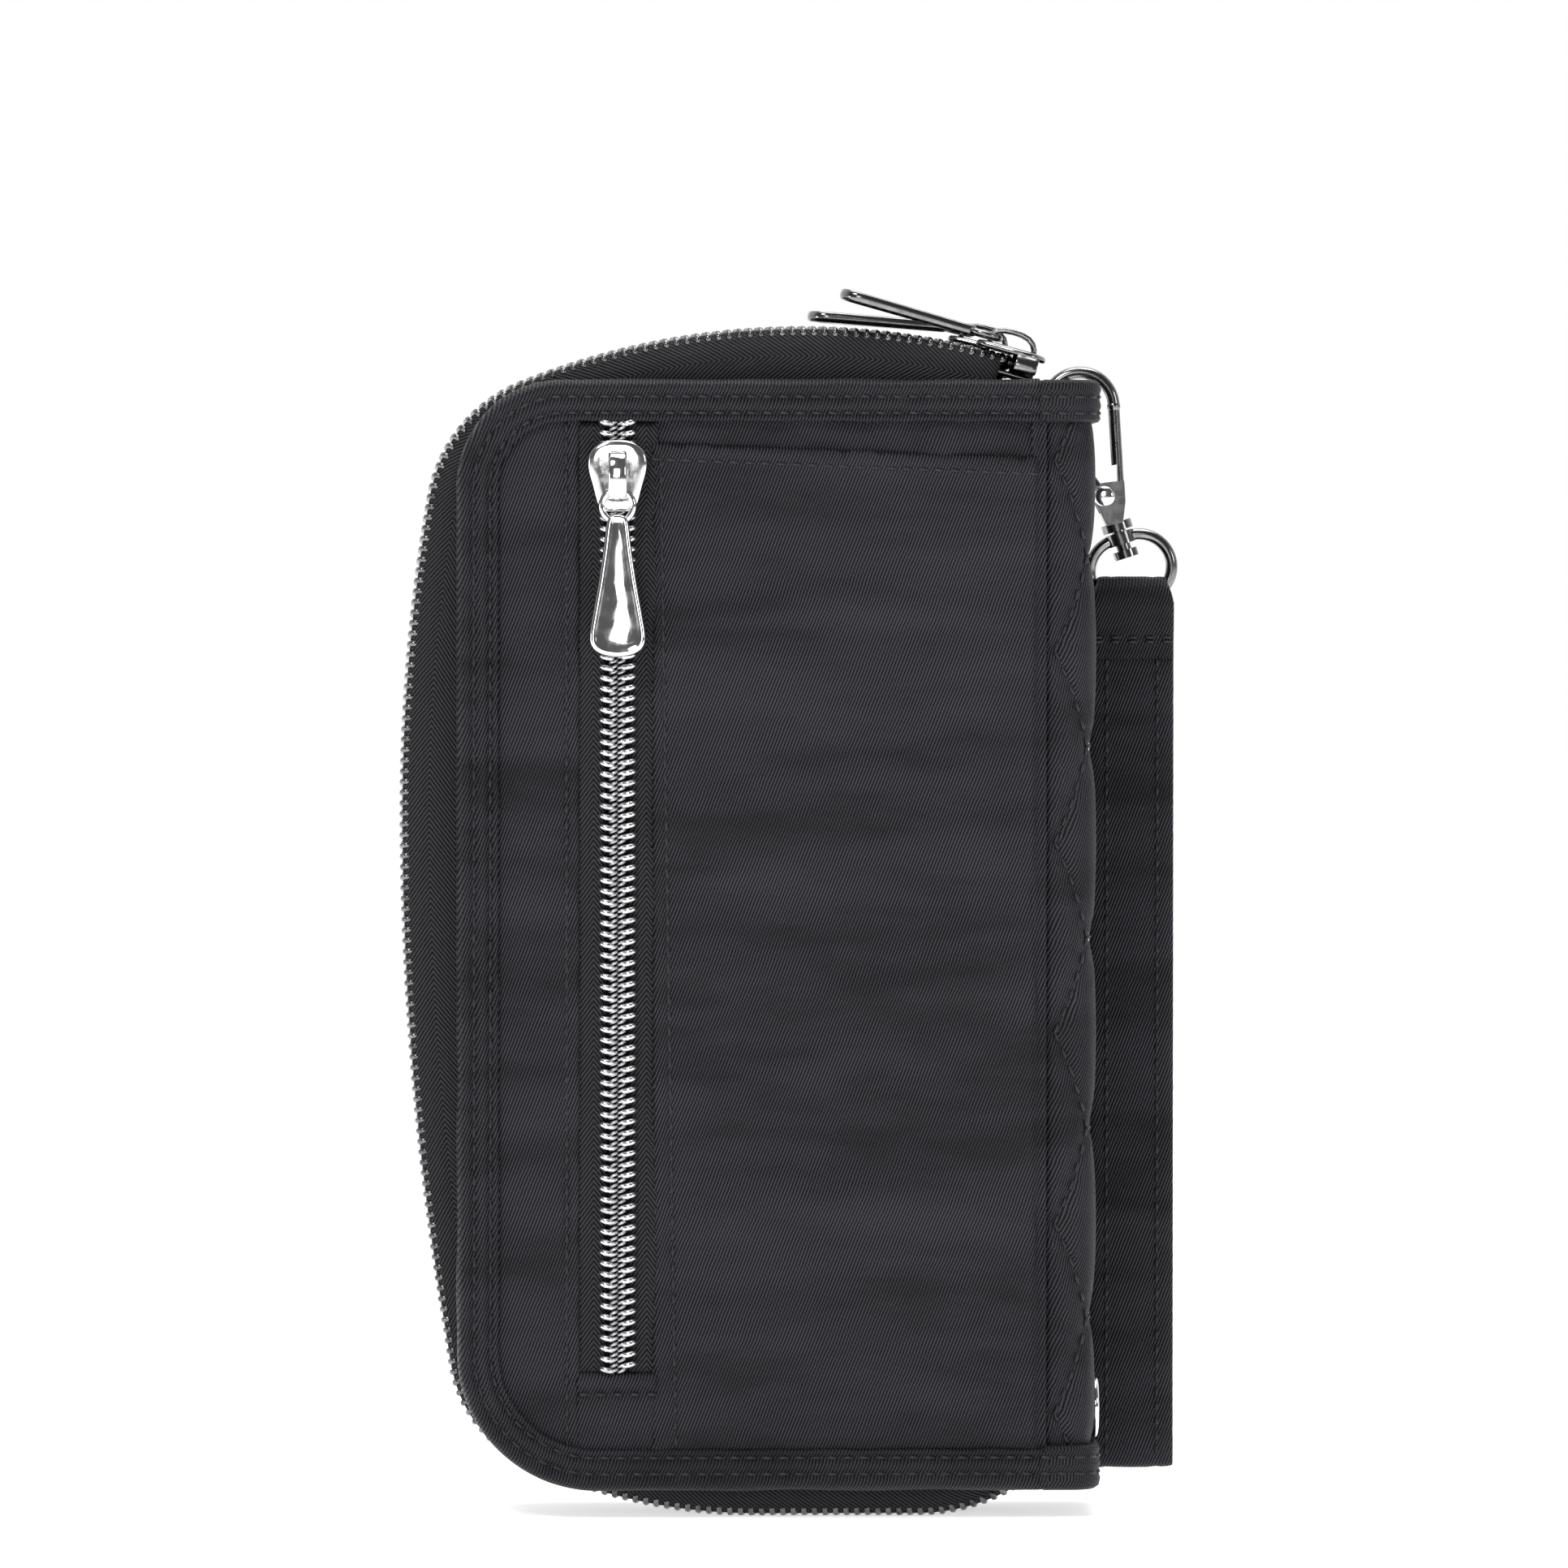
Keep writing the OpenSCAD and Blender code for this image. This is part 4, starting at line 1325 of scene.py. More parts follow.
@dataclass
class ZipAround:
    """One zip round the edge: its tapes and its rows of coil turns.

    Attributes:
        side: Which of the two zips.
        pitch: Distance between the coil's turns in millimetres.
        centre: The y of its middle, from the pouch's mid plane; not used.
    """

    side: Side
    pitch: float = 1.68
    centre: float = 6.0

    def outer_tape(self) -> Piece:
        """Builds the tape from under the cover's binding out to the teeth.

        Returns:
            The new object.
        """
        track = whole_zip(1.2)
        keep = [i for i, (x, z) in enumerate(track.at) if x < 41.0 or (z < 90 and x < 42)]
        sign = self.side.value

        def section(i: int) -> Array:
            """Works out the tape's cross-section, sagging softly.

            Args:
                i: Number of the place on the track.
            Returns:
                Rows of inset and y.
            """
            run = track.run[i]
            sag = 0.25 * uneven(run / 9.0, 2.0, sign)
            line = [(13.0, 9.35), (9.0, 9.6 + sag), (6.0, 9.75 + sag), (3.4, 9.5 + sag), (1.7, 9.0), (0.75, 8.3)]
            normal = [(0.0, 0.45), (0.0, 0.45), (0.0, 0.45), (-0.12, 0.42), (-0.3, 0.33), (-0.42, 0.1)]
            top = [(d + n[0], y + n[1]) for (d, y), n in zip(line, normal)]
            low = [(d - n[0], y - n[1]) for (d, y), n in zip(line, normal)]
            data = np.array(top + low[::-1])
            data[:, 1] *= sign
            return data
        return swept(f"{self.side.word}_outer_tape", track, section, keep[0], keep[-1] + 1)

    def inner_tape(self) -> Piece:
        """Builds the tape from the divider's binding out to the teeth.

        Returns:
            The new object.
        """
        track = whole_zip(1.4)

        def section(i: int) -> Array:
            """Works out the tape's cross-section.

            Args:
                i: Number of the place on the track.
            Returns:
                Rows of inset and y.
            """
            line = [(10.0, 2.6), (6.0, 2.6), (3.0, 2.7), (1.4, 3.1), (0.8, 3.7)]
            top = [(d, y + 0.35) for d, y in line]
            low = [(d, y - 0.35) for d, y in line]
            data = np.array(top + low[::-1])
            data[:, 1] *= self.side.value
            return data
        return swept(f"{self.side.word}_inner_tape", track, section)

    def teeth(self, name: str, y: float, shift: float, short: bool) -> Piece:
        """Returns a row of coil turns.

        Args:
            name: The piece's name.
            y: Distance of the turns' middle from the mid plane.
            shift: How far along the edge the first turn is moved.
            short: Whether the row ends before the slider and the spine.
        Returns:
            The row.
        """
        step = 0.6
        track = whole_zip(step, 0.95)
        start = int(shift / step + 0.5)
        last = len(track.at)
        if short:
            last = max(i for i, (x, z) in enumerate(track.at) if x < 40.0 or z < 90) + 1
            start += min(i for i, (x, z) in enumerate(track.at) if x < 42.0)
        at = track.at[start:last]
        out = -track.inward[start:last]
        places = np.stack([at[:, 0], np.full(len(at), self.side.value * y), at[:, 1]], 1)
        line = (places, np.stack([out[:, 0], 0 * out[:, 0], out[:, 1]], 1))
        return Row(Element.COIL, self.pitch, 1.08, 3.1, 1.35, 8.0).lay(name, [line], DARK_COIL)

    def build(self) -> None:
        """Builds both tapes and both rows."""
        word = self.side.word
        finish_piece(self.outer_tape(), self.side.body, TAPE, [f"{word}_chain_tape"])
        finish_piece(self.inner_tape(), "core", TAPE, [f"divider_tape_{word}"])
        outer = self.teeth(f"{word}_outer_coil", 7.35, 0.0, True)
        finish_piece(outer, self.side.body, DARK_COIL, [f"{word}_chain_teeth"])
        inner = self.teeth(f"{word}_inner_coil", 4.65, 0.84, False)
        finish_piece(inner, "core", DARK_COIL, [f"divider_teeth_{word}"])


@dataclass
class PocketZip:
    """The upright zip on the back, with its tapes, coils, end patch and stops.

    Attributes:
        x: Its centre line in millimetres.
        low: Lower end of its coils.
        high: Upper end of its coils.
        pitch: Distance between the turns of a coil.
    """

    CORD_ASIDE, COIL_ASIDE = 0.62, 1.72  # how far the cords and the coils lie from the centre line
    PATCH_SEAM = 19.9  # height of the end patch's stitches

    x: float = -21.4
    low: float = 23.3
    high: float = 174.2
    pitch: float = 1.68

    def upright(self, aside: float, y: float, raised: float) -> tuple[Array, Array]:
        """Returns an upright line aside from the centre, that starts raised above the coils' lower end."""
        return stitch_line([(self.x + aside, y, self.low + raised), (self.x + aside, y, self.high)], BACKWARD)

    def tape(self, name: str, x0: float, x1: float) -> Piece:
        """Builds a flat tape, with its weave turned upright.

        Args:
            name: The piece's name.
            x0: Its left side.
            x1: Its right side.
        Returns:
            The new object.
        """
        outline = rounded_box(x0, self.low, x1, 174.3, 0.3, 1.6)
        made = Panel(name, outline, -BACKING_FACE, lambda x, z: -14.15 + 0 * x, 1.0, roll=0.2).build()
        layer = made.data.uv_layers[0]
        data = np.empty(len(layer.data) * 2, dtype=np.float32)
        layer.data.foreach_get("uv", data)
        data = data.reshape(-1, 2)[:, ::-1].copy()
        layer.data.foreach_set("uv", data.ravel())
        return made

    def build(self) -> None:
        """Builds the zip's pieces."""
        finish_piece(self.tape("pocket_zip_tape_left", -27.6, -23.2), "back_cover", TAPE, ["pocket_tape_left"])
        finish_piece(self.tape("pocket_zip_tape_right", -19.6, -15.0), "back_cover", TAPE, ["pocket_tape_right"])
        core = Row(Element.COIL, self.pitch / 2, 0.52, 1.2, 1.3, 24.0)
        for word, sign in (("left", -1), ("right", 1)):
            cord = core.lay(f"pocket_cord_{word}", [self.upright(sign * self.CORD_ASIDE, -14.55, 0.4)], DULL_COIL)
            finish_piece(cord, "back_cover", DULL_COIL)
        for word, sign, shift, stops in (("left", -1, 0.0, []), ("right", 1, self.pitch / 2, ["pocket_top_stop"])):
            turn = Row(Element.COIL, self.pitch, 0.98, 1.85, 1.5, sign * 13.0)
            line = self.upright(sign * self.COIL_ASIDE, -14.6, 0.5 + shift)
            coil = turn.lay(f"pocket_coil_{word}", [line], BRIGHT_COIL)
            finish_piece(coil, "back_cover", BRIGHT_COIL, [f"pocket_teeth_{word}", *stops])
        finish_piece(self.patch(), "back_cover", NYLON, ["pocket_end_patch"])
        line = stitch_line([(-26.8, -14.75, self.PATCH_SEAM), (-16.0, -14.75, self.PATCH_SEAM)], BACKWARD)
        sew("end_patch_stitches", SMALL_STITCH, [line], "back_cover")
        bag = Panel("pocket_bag_sheet", rounded_box(-37.4, 18.6, -4.6, 173.9, 1.0, 3.0), -11.5,
                    lambda x, z: -12.0 + 0.1 * noise_over(x, z, 9, 14, 5.0), 4.0)
        finish_piece(bag.build(), "back_cover", LINING, ["pocket_bag"])

    def patch(self) -> Piece:
        """Builds the patch over the zip's lower end, with a turned-in upper edge.

        Returns:
            The new object.
        """
        outline = rounded_box(-28.0, 10.0, -15.0, 23.4, 0.5, 1.0)

        def face(x: Array, z: Array) -> Array:
            """Returns the y of the patch at places x and z."""
            fold = np.exp(-((z - 22.0) / 1.3) ** 2)
            seam = 0.2 * np.exp(-((z - self.PATCH_SEAM) / 0.5) ** 2)
            return -14.45 - 0.55 * fold - 0.08 * noise_over(x, z, 5, 3, 2.0) + seam
        return Panel("end_patch", outline, -BACKING_FACE, face, 0.8).build()


@dataclass
class BackFace:
    """The sheet layers on the back cover: backing, slip pocket and side strip.

    Attributes:
        hem_left: Height of the slip pocket's top edge at its left end.
        hem_right: Height of that edge at its right end.
    """

    CREASES = ((145.0, 0.06, 0.9), (85.0, -0.05, 0.85), (50.0, 0.04, 0.8), (118.0, -0.03, 0.4), (67.0, 0.08, 0.35))

    hem_left: float = 171.2
    hem_right: float = 168.9

    def hem(self, x: Array) -> Array:
        """Returns the height of the slip pocket's top edge at x."""
        share = (np.asarray(x) + 16.4) / 60.4
        return self.hem_left + (self.hem_right - self.hem_left) * share

    def side_seam(self, z: Array) -> Array:
        """Returns the x of the slip pocket's left seam at height z."""
        return -14.6 + 2.4 * (171.0 - z) / 160.0

    def pocket_face(self, x: Array, z: Array) -> Array:
        """Works out the slip pocket's face, with soft wrinkles, its hem and its side seam.

        Args:
            x: Places across.
            z: Heights.
        Returns:
            The y at each place.
        """
        y = -14.7 - 0.9 * noise_over(x, z, 40, 13, 1.0) - 0.5 * noise_over(x, z, 16, 6, 2.0)
        for middle, slope, deep in self.CREASES:
            line = z - middle - slope * (x - 15.0) - 1.5 * np.sin(x / 9.0 + middle)
            y -= deep * np.exp(-(line / 3.2) ** 2) * np.exp(-((x - 14.0) / 26.0) ** 2)
        below = self.hem(x) - z
        y -= 0.55 * np.clip(1 - np.abs(below - 1.5) / 2.0, 0, 1) ** 0.6
        y += 0.3 * np.exp(-((below - 2.7) / 0.5) ** 2)
        y += 0.32 * np.exp(-((x - self.side_seam(z)) / 0.6) ** 2)
        return np.minimum(y, -13.9)

    def slip_pocket(self) -> Piece:
        """Builds the slip pocket's panel.

        Returns:
            The new object.
        """
        outline = clipped(cover_outline(PANEL_INSET), -16.0, 0.0, 45.4, 400.0)
        over = outline[:, 1] > self.hem(outline[:, 0])
        outline[over, 1] = self.hem(outline[over, 0])
        keep = np.hypot(*(outline - np.roll(outline, 1, axis=0)).T) > 1e-3
        return Panel("slip_pocket_panel", outline[keep], -BACKING_FACE + UNDER_FOLD, self.pocket_face, 1.15).build()

    def side_strip(self) -> Piece:
        """Builds the strip to the left of the zip.

        Returns:
            The new object.
        """
        outline = clipped(cover_outline(PANEL_INSET), -60.0, 0.0, -27.3, 400.0)

        def face(x: Array, z: Array) -> Array:
            """Works out the strip, with a seam and a ridge beside it.

            Args:
                x: Places across.
                z: Heights.
            Returns:
                The y at each place.
            """
            y = -14.35 - 0.4 * noise_over(x, z, 10, 20, 6.0)
            y = y + 0.3 * np.exp(-((x + 29.5) / 0.55) ** 2)
            return y - 0.15 * np.exp(-((x + 28.0) / 0.7) ** 2)
        return Panel("side_strip_panel", outline, -BACKING_FACE + UNDER_FOLD, face, 1.0).build()

    def backing(self) -> Piece:
        """Builds the backing sheet, which shows above the slip pocket's hem.

        Returns:
            The new object.
        """
        def face(x: Array, z: Array) -> Array:
            """Returns the y of the sheet at places x and z, loose above the hem."""
            loose = np.clip((z - 163.0) / 6.0, 0, 1) * np.clip((x + 15.0) / 6.0, 0, 1)
            return -13.35 - loose * (0.6 + 1.1 * noise_over(x, z, 5.5, 9, 8.0))
        return Panel("backing_sheet", cover_outline(1.0, 3.0), -BOARD_FACE - 0.02, face, 2.6).build()

    def build(self) -> None:
        """Builds the layers and their stitches."""
        finish_piece(self.backing(), "back_cover", NYLON, ["pocket_backing"])
        finish_piece(self.slip_pocket(), "back_cover", NYLON, ["slip_pocket"])
        finish_piece(self.side_strip(), "back_cover", NYLON, ["pocket_side_strip"])
        xs = np.linspace(-15.4, 44.6, 60)
        zs = self.hem(xs) - 2.7
        hem = (np.stack([xs, self.pocket_face(xs, zs) - 0.1, zs], 1), np.array(BACKWARD))
        down = np.linspace(168.0, 12.5, 130)
        across = self.side_seam(down)
        edge = (np.stack([across, self.pocket_face(across, down) - 0.1, down], 1), np.array(BACKWARD))
        left = stitch_line([(-29.5, -14.12, 173.5), (-29.5, -14.12, 12.0)], BACKWARD)
        sew("back_face_stitches", SEAM_STITCH, [hem, edge, left], "back_cover")


class Linings:
    """The sheets inside the covers, the divider and its card panels."""

    def sheet(self, name: str, outline: Array, back: float, front: float, seed: float,
              spacing: float = 3.5) -> Piece:
        """Builds a slightly uneven sheet.

        Args:
            name: The piece's name.
            outline: Its outline.
            back: The y of its hidden face.
            front: The y of its shown face.
            seed: Which unevenness.
            spacing: Distance between its points.
        Returns:
            The new object.
        """
        def face(x: Array, z: Array) -> Array:
            """Returns the y of the sheet at places x and z."""
            return front + 0.1 * noise_over(x, z, 14, 18, seed)
        return Panel(name, outline, back, face, spacing, roll=0.25).build()

    def build(self) -> None:
        """Builds the linings, the divider and the card panels."""
        for side in Side:
            sign = side.value
            sheet = self.sheet(f"{side.word}_lining_sheet", cover_outline(0.9, 3.0), sign * 10.62, sign * 10.2, sign)
            finish_piece(sheet, side.body, LINING, [f"{side.word}_lining"])
            for n, high in ((1, 160.0), (2, 128.0), (3, 96.0)):
                back = sign * (1.0 + 0.35 * (n - 1))
                outline = rounded_box(-34.0, 18.5, 45.0, high, 1.0, 3.0)
                card = self.sheet(f"card_sheet_{side.word}_{n}", outline, back, back + sign * 0.33, 10 + n)
                finish_piece(card, "core", LINING, [f"card_panel_{side.word}_{n}"])
        track = whole_zip(2.5, 6.0)
        right = np.array([[52.9, 173.4], *[[52.9, z] for z in np.arange(170, 13, -3.0)], [52.9, 12.6]])
        outline = np.concatenate([track.at, [[46.0, 174.4]], right, [[46.0, 12.0]]])
        board = self.sheet("divider_sheet", outline, -0.98, 0.95, 20.0)
        finish_piece(board, "core", NYLON, ["divider_board"])
        rim = whole_zip(1.5)

        def section(i: int) -> Array:
            """Returns the divider binding's cross-section at place i, as inset and y."""
            soft = 0.1 * uneven(rim.run[i] / 6.0, 1.0, 7.0)
            return np.array([(10.0, 2.1), (7.5, 2.15 + soft), (5.2, 2.0), (4.5, 1.2), (4.4, 0.0), (4.5, -1.2),
                             (5.2, -2.0), (7.5, -2.15 - soft), (10.0, -2.1), (10.0, -1.05), (6.1, -1.05),
                             (6.1, 1.05), (10.0, 1.05)])
        finish_piece(swept("divider_fold", rim, section), "core", BINDING, ["divider_binding"])


@dataclass
class Spine:
    """The quilted spine, its caps, the hinge strips and the tab for the ring.

    Attributes:
        first: Height of the lowest row of hexagons in millimetres.
        pitch: Height of a row.
    """

    HINGE_CORE, HINGE_COVER = 46.9, 44.6  # x where the hinge is all spine, and all cover
    PUFF = 1.5

    first: float = 16.6
    pitch: float = 30.35

    def wrap(self, u: Array, out: Array) -> Array:
        """Bends flat places round the spine's plan.

        Args:
            u: Distances round the plan.
            out: How far outside it, for each or for all.
        Returns:
            Rows of x and y.
        """
        flat = SPINE_X - SPINE_R - SPINE_LEFT
        arc = math.pi / 2 * SPINE_R
        face = 2 * (SPINE_HALF - SPINE_R)
        made = []
        for here, o in zip(np.ravel(u), np.broadcast_to(out, np.shape(np.ravel(u)))):
            total = 2 * flat + 2 * arc + face
            mirror = here > total / 2
            d = total - here if mirror else here
            if d < flat:
                x, y, nx, ny = SPINE_LEFT + d, -SPINE_HALF, 0.0, -1.0
            elif d < flat + arc:
                turn = (d - flat) / SPINE_R
                nx, ny = math.sin(turn), -math.cos(turn)
                x, y = SPINE_X - SPINE_R + SPINE_R * nx, -SPINE_HALF + SPINE_R + SPINE_R * ny
            else:
                x, y, nx, ny = SPINE_X, -SPINE_HALF + SPINE_R + (d - flat - arc), 1.0, 0.0
            if mirror:
                y, ny = -y, -ny
            made.append((x + o * nx, y + o * ny))
        return np.array(made)

    @property
    def around(self) -> float:
        """Returns the length round the spine's plan."""
        return 2 * (SPINE_X - SPINE_R - SPINE_LEFT) + math.pi * SPINE_R + 2 * (SPINE_HALF - SPINE_R)

    def seams(self) -> list[Array]:
        """Lays out the quilting's seams, flat.

        Returns:
            For each seam, rows of distance round the spine and height.
        """
        lines = []
        total = self.around
        for k in range(-1, 7):
            z = self.first + self.pitch * k
            middle = z + 15.17
            for a, b in (((-1, z), (1.9, z)), ((1.9, z), (8.8, middle)), ((8.8, middle), (1.9, z + self.pitch)),
                         ((8.8, middle), (total - 8.8, middle)), ((total - 1.9, z), (total - 8.8, middle)),
                         ((total - 8.8, middle), (total - 1.9, z + self.pitch)), ((total - 1.9, z), (total + 1, z))):
                a, b = np.array(a, float), np.array(b, float)
                count = max(2, int(np.hypot(*(b - a)) / 1.2))
                lines.append(np.array([a + (b - a) * (i + 0.5) / count for i in range(count)]))
        return lines

    def skin(self) -> Piece:
        """Builds the quilted skin wrapped round the spine.

        Returns:
            The new object.
        """
        outline = rounded_box(0.1, SPINE_LOW - 1.5, self.around - 0.1, SPINE_HIGH + 1.5, 0.3, 1.6)
        quilt = Quilt("spine_skin", outline, 0.0, lambda x, z: 1.0, 1.25, self.seams(), puff=self.PUFF)
        flat, height = quilt.heights()
        shown = self.wrap(flat[:, 0], height - self.PUFF)
        hidden = self.wrap(quilt.flat[:, 0], -1.62)
        return quilt.slab(np.column_stack([shown, flat[:, 1]]), np.column_stack([hidden, quilt.flat[:, 1]]))

    def shell(self, name: str, section: Sequence[tuple[float, float]], step: float = 0.7) -> Piece:
        """Makes a solid that follows the spine's plan.

        Args:
            name: The piece's name.
            section: Its cross-section, as pairs of outset and height.
            step: Distance between sections.
        Returns:
            The new object.
        """
        data = np.array(section, float)
        rings, uvs = [], []
        across = distances(data)
        for u in np.linspace(0.02, self.around - 0.02, int(self.around / step)):
            soft = 0.12 * uneven(u / 5.0, 1.0, data[0, 1])
            flat = self.wrap(np.full(len(data), u), data[:, 0] + soft)
            rings.append(np.column_stack([flat, data[:, 1]]))
            uvs.append(np.stack([np.full(len(data), u), across], 1) * MM)
        return tube_piece(name, np.array(rings), np.array(uvs))

    def caps(self) -> None:
        """Builds the bindings over the spine's ends with their stitches."""
        top = [(-1.9, 174.6), (-2.1, 178.0), (-1.9, 180.3), (-1.2, 181.0), (-0.4, 181.1), (0.35, 180.6),
               (0.6, 179.5), (0.25, 178.4), (0.6, 177.0), (0.25, 175.8), (0.5, 174.9), (0.1, 174.4), (-1.0, 174.4)]
        low = [(-1.9, 11.4), (-2.1, 8.0), (-1.9, 5.3), (-1.2, 4.6), (-0.4, 4.5), (0.35, 5.0), (0.6, 6.1),
               (0.25, 7.2), (0.6, 8.6), (0.25, 9.8), (0.5, 11.0), (0.1, 11.6), (-1.0, 11.6)]
        for name, node, section, heights in (("spine_top_fold", "spine_top_binding", top, (178.4, 175.8)),
                                             ("spine_bottom_fold", "spine_bottom_binding", low, (7.2, 9.8))):
            finish_piece(self.shell(name, section), "core", SPINE_EDGE, [node])
            lines = []
            us = np.linspace(0.4, self.around - 0.4, 60)
            at = self.wrap(us, 0.27)
            out = self.wrap(us, 1.27) - at
            for z in heights:
                lines.append((np.column_stack([at, np.full(60, z)]), np.column_stack([out, np.zeros(60)])))
            sew(f"{name}_stitches", STITCH, lines, "core")

    def hinge(self, side: Side) -> Piece:
        """Builds the strip of skin that joins a cover to the spine along the hinge.

        Args:
            side: Which cover.
        Returns:
            The new object.
        """
        sign = side.value
        xs = np.array([44.4, 44.8, 45.1, 45.4, 45.7, 46.0, 46.3, 46.5, 46.7])
        rings = []
        for z in np.linspace(SPINE_LOW - 1, SPINE_HIGH + 1, 120):
            dip = 0.35 * np.exp(-((xs - 45.8) / 0.5) ** 2)
            soft = 0.12 * uneven(z / 6.0, 3.0, sign)
            outer = SPINE_HALF - dip + soft
            rings.append([(x, sign * y, z) for x, y in zip(xs, outer)] +
                         [(x, sign * 14.0, z) for x in xs[::-1]])
        return tube_piece(f"{side.word}_hinge_strip", np.array(rings))

    def hinge_cap(self, side: Side, top: bool) -> Piece:
        """Builds the short run of binding that crosses the hinge.

        Args:
            side: Which cover.
            top: Whether it is the upper one.
        Returns:
            The new object.
        """
        sign = side.value
        section = [(0.0, 13.2), (0.0, 14.3), (0.35, 14.95), (1.2, 15.25), (2.0, 15.2), (2.6, 14.85), (3.2, 15.2),
                   (4.4, 15.25), (5.2, 14.85), (6.0, 15.1), (6.5, 14.7), (6.6, 14.0), (6.0, 13.2)]
        rings = []
        for x in np.linspace(44.9, 47.3, 9):
            share = (x - 44.9) / 2.4
            rings.append([(x, sign * (y - 0.25 * share), (TOP - d) if top else (BOTTOM + d)) for d, y in section])
        return tube_piece(f"{side.word}_hinge_cap_{'top' if top else 'bottom'}", np.array(rings))

    def tab(self) -> Piece:
        """Builds the webbing tab folded round the ring's bar.

        Returns:
            The new object.
        """
        loop = [(46.6, 14.55), (46.4, 15.0), (46.7, 15.45), (48.0, 15.55), (49.4, 15.7), (50.2, 16.4),
                (50.6, 17.3), (51.4, 17.9), (52.2, 17.95), (53.1, 17.5), (53.6, 16.5), (53.4, 15.4), (52.7, 14.75),
                (50.5, 14.55)]
        rings = []
        for z in np.linspace(168.6, 178.4, 24):
            edge = 0.12 if z in (168.6, 178.4) else 0.0
            rings.append([(x + 0.05 * math.sin(z * 2.1), y - edge * (y - 15.9), z) for x, y in loop])
        rings = np.array(rings)
        around = distances(np.array(loop))
        uvs = np.stack([np.broadcast_to(around, (24, len(loop))),
                        np.broadcast_to(rings[:, :1, 2], (24, len(loop)))], 2) * MM
        return tube_piece("ring_tab_fold", rings, uvs)

    def build(self) -> None:
        """Builds the spine."""
        skin = finish_piece(self.skin(), "core", SPINE_SKIN, ["spine_panel"])
        rows = []
        for line in self.seams():
            line = line[(line[:, 0] > 0.5) & (line[:, 0] < self.around - 0.5) & (line[:, 1] > 12) & (line[:, 1] < 174)]
            if len(line) < 3:
                continue
            at = self.wrap(line[:, 0], -1.2)
            out = self.wrap(line[:, 0], -0.2) - at
            rows.append((np.column_stack([at, line[:, 1]]), np.column_stack([out, 0 * line[:, 1]])))
        sew("spine_quilting_stitches", SEAM_STITCH, rows, "core")
        lining = self.shell("spine_lining_sheet", [(-1.66, 11.7), (-1.66, 60.0), (-1.66, 120.0), (-1.66, 174.3),
                                                   (-1.95, 174.3), (-1.95, 120.0), (-1.95, 60.0), (-1.95, 11.7)], 1.2)
        finish_piece(lining, "core", LINING, ["spine_lining"])
        self.caps()
        for side in Side:
            for strip, finish in ((self.hinge(side), NYLON), (self.hinge_cap(side, True), BINDING),
                                  (self.hinge_cap(side, False), BINDING)):
                strip.data.materials.append(finish.material())
                side.body
                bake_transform(strip)
        finish_piece(self.tab(), "core", WEBBING, ["ring_tab"])


class QuiltedFront:
    """The hexagon quilting on the front cover, over its foam."""

    CENTRE = (9.5, 92.4)  # of one hexagon, in x and z
    SIDE_LENGTH = 17.5

    def build(self) -> None:
        """Builds the quilted skin."""
        seams = hexagon_seams(-47, 46, 4, 182, self.CENTRE, self.SIDE_LENGTH)
        quilt = Quilt("front_quilting", cover_outline(5.4, 1.6), BACKING_FACE - 0.4, lambda x, z: 15.0, 1.5, seams,
                      puff=1.6, outer=0.5)
        made = finish_piece(quilt.build(), "front_cover", QUILT, ["front_quilt"])
        inner = cover_outline(7.2, 1.6)
        rows = []
        for line in seams:
            line = line[inside(line, inner)]
            if len(line) > 2:
                rows.append((np.stack([line[:, 0], 0 * line[:, 0] + 13.85, line[:, 1]], 1), np.array(FORWARD)))
        sew("front_quilting_stitches", SEAM_STITCH, rows, "front_cover")


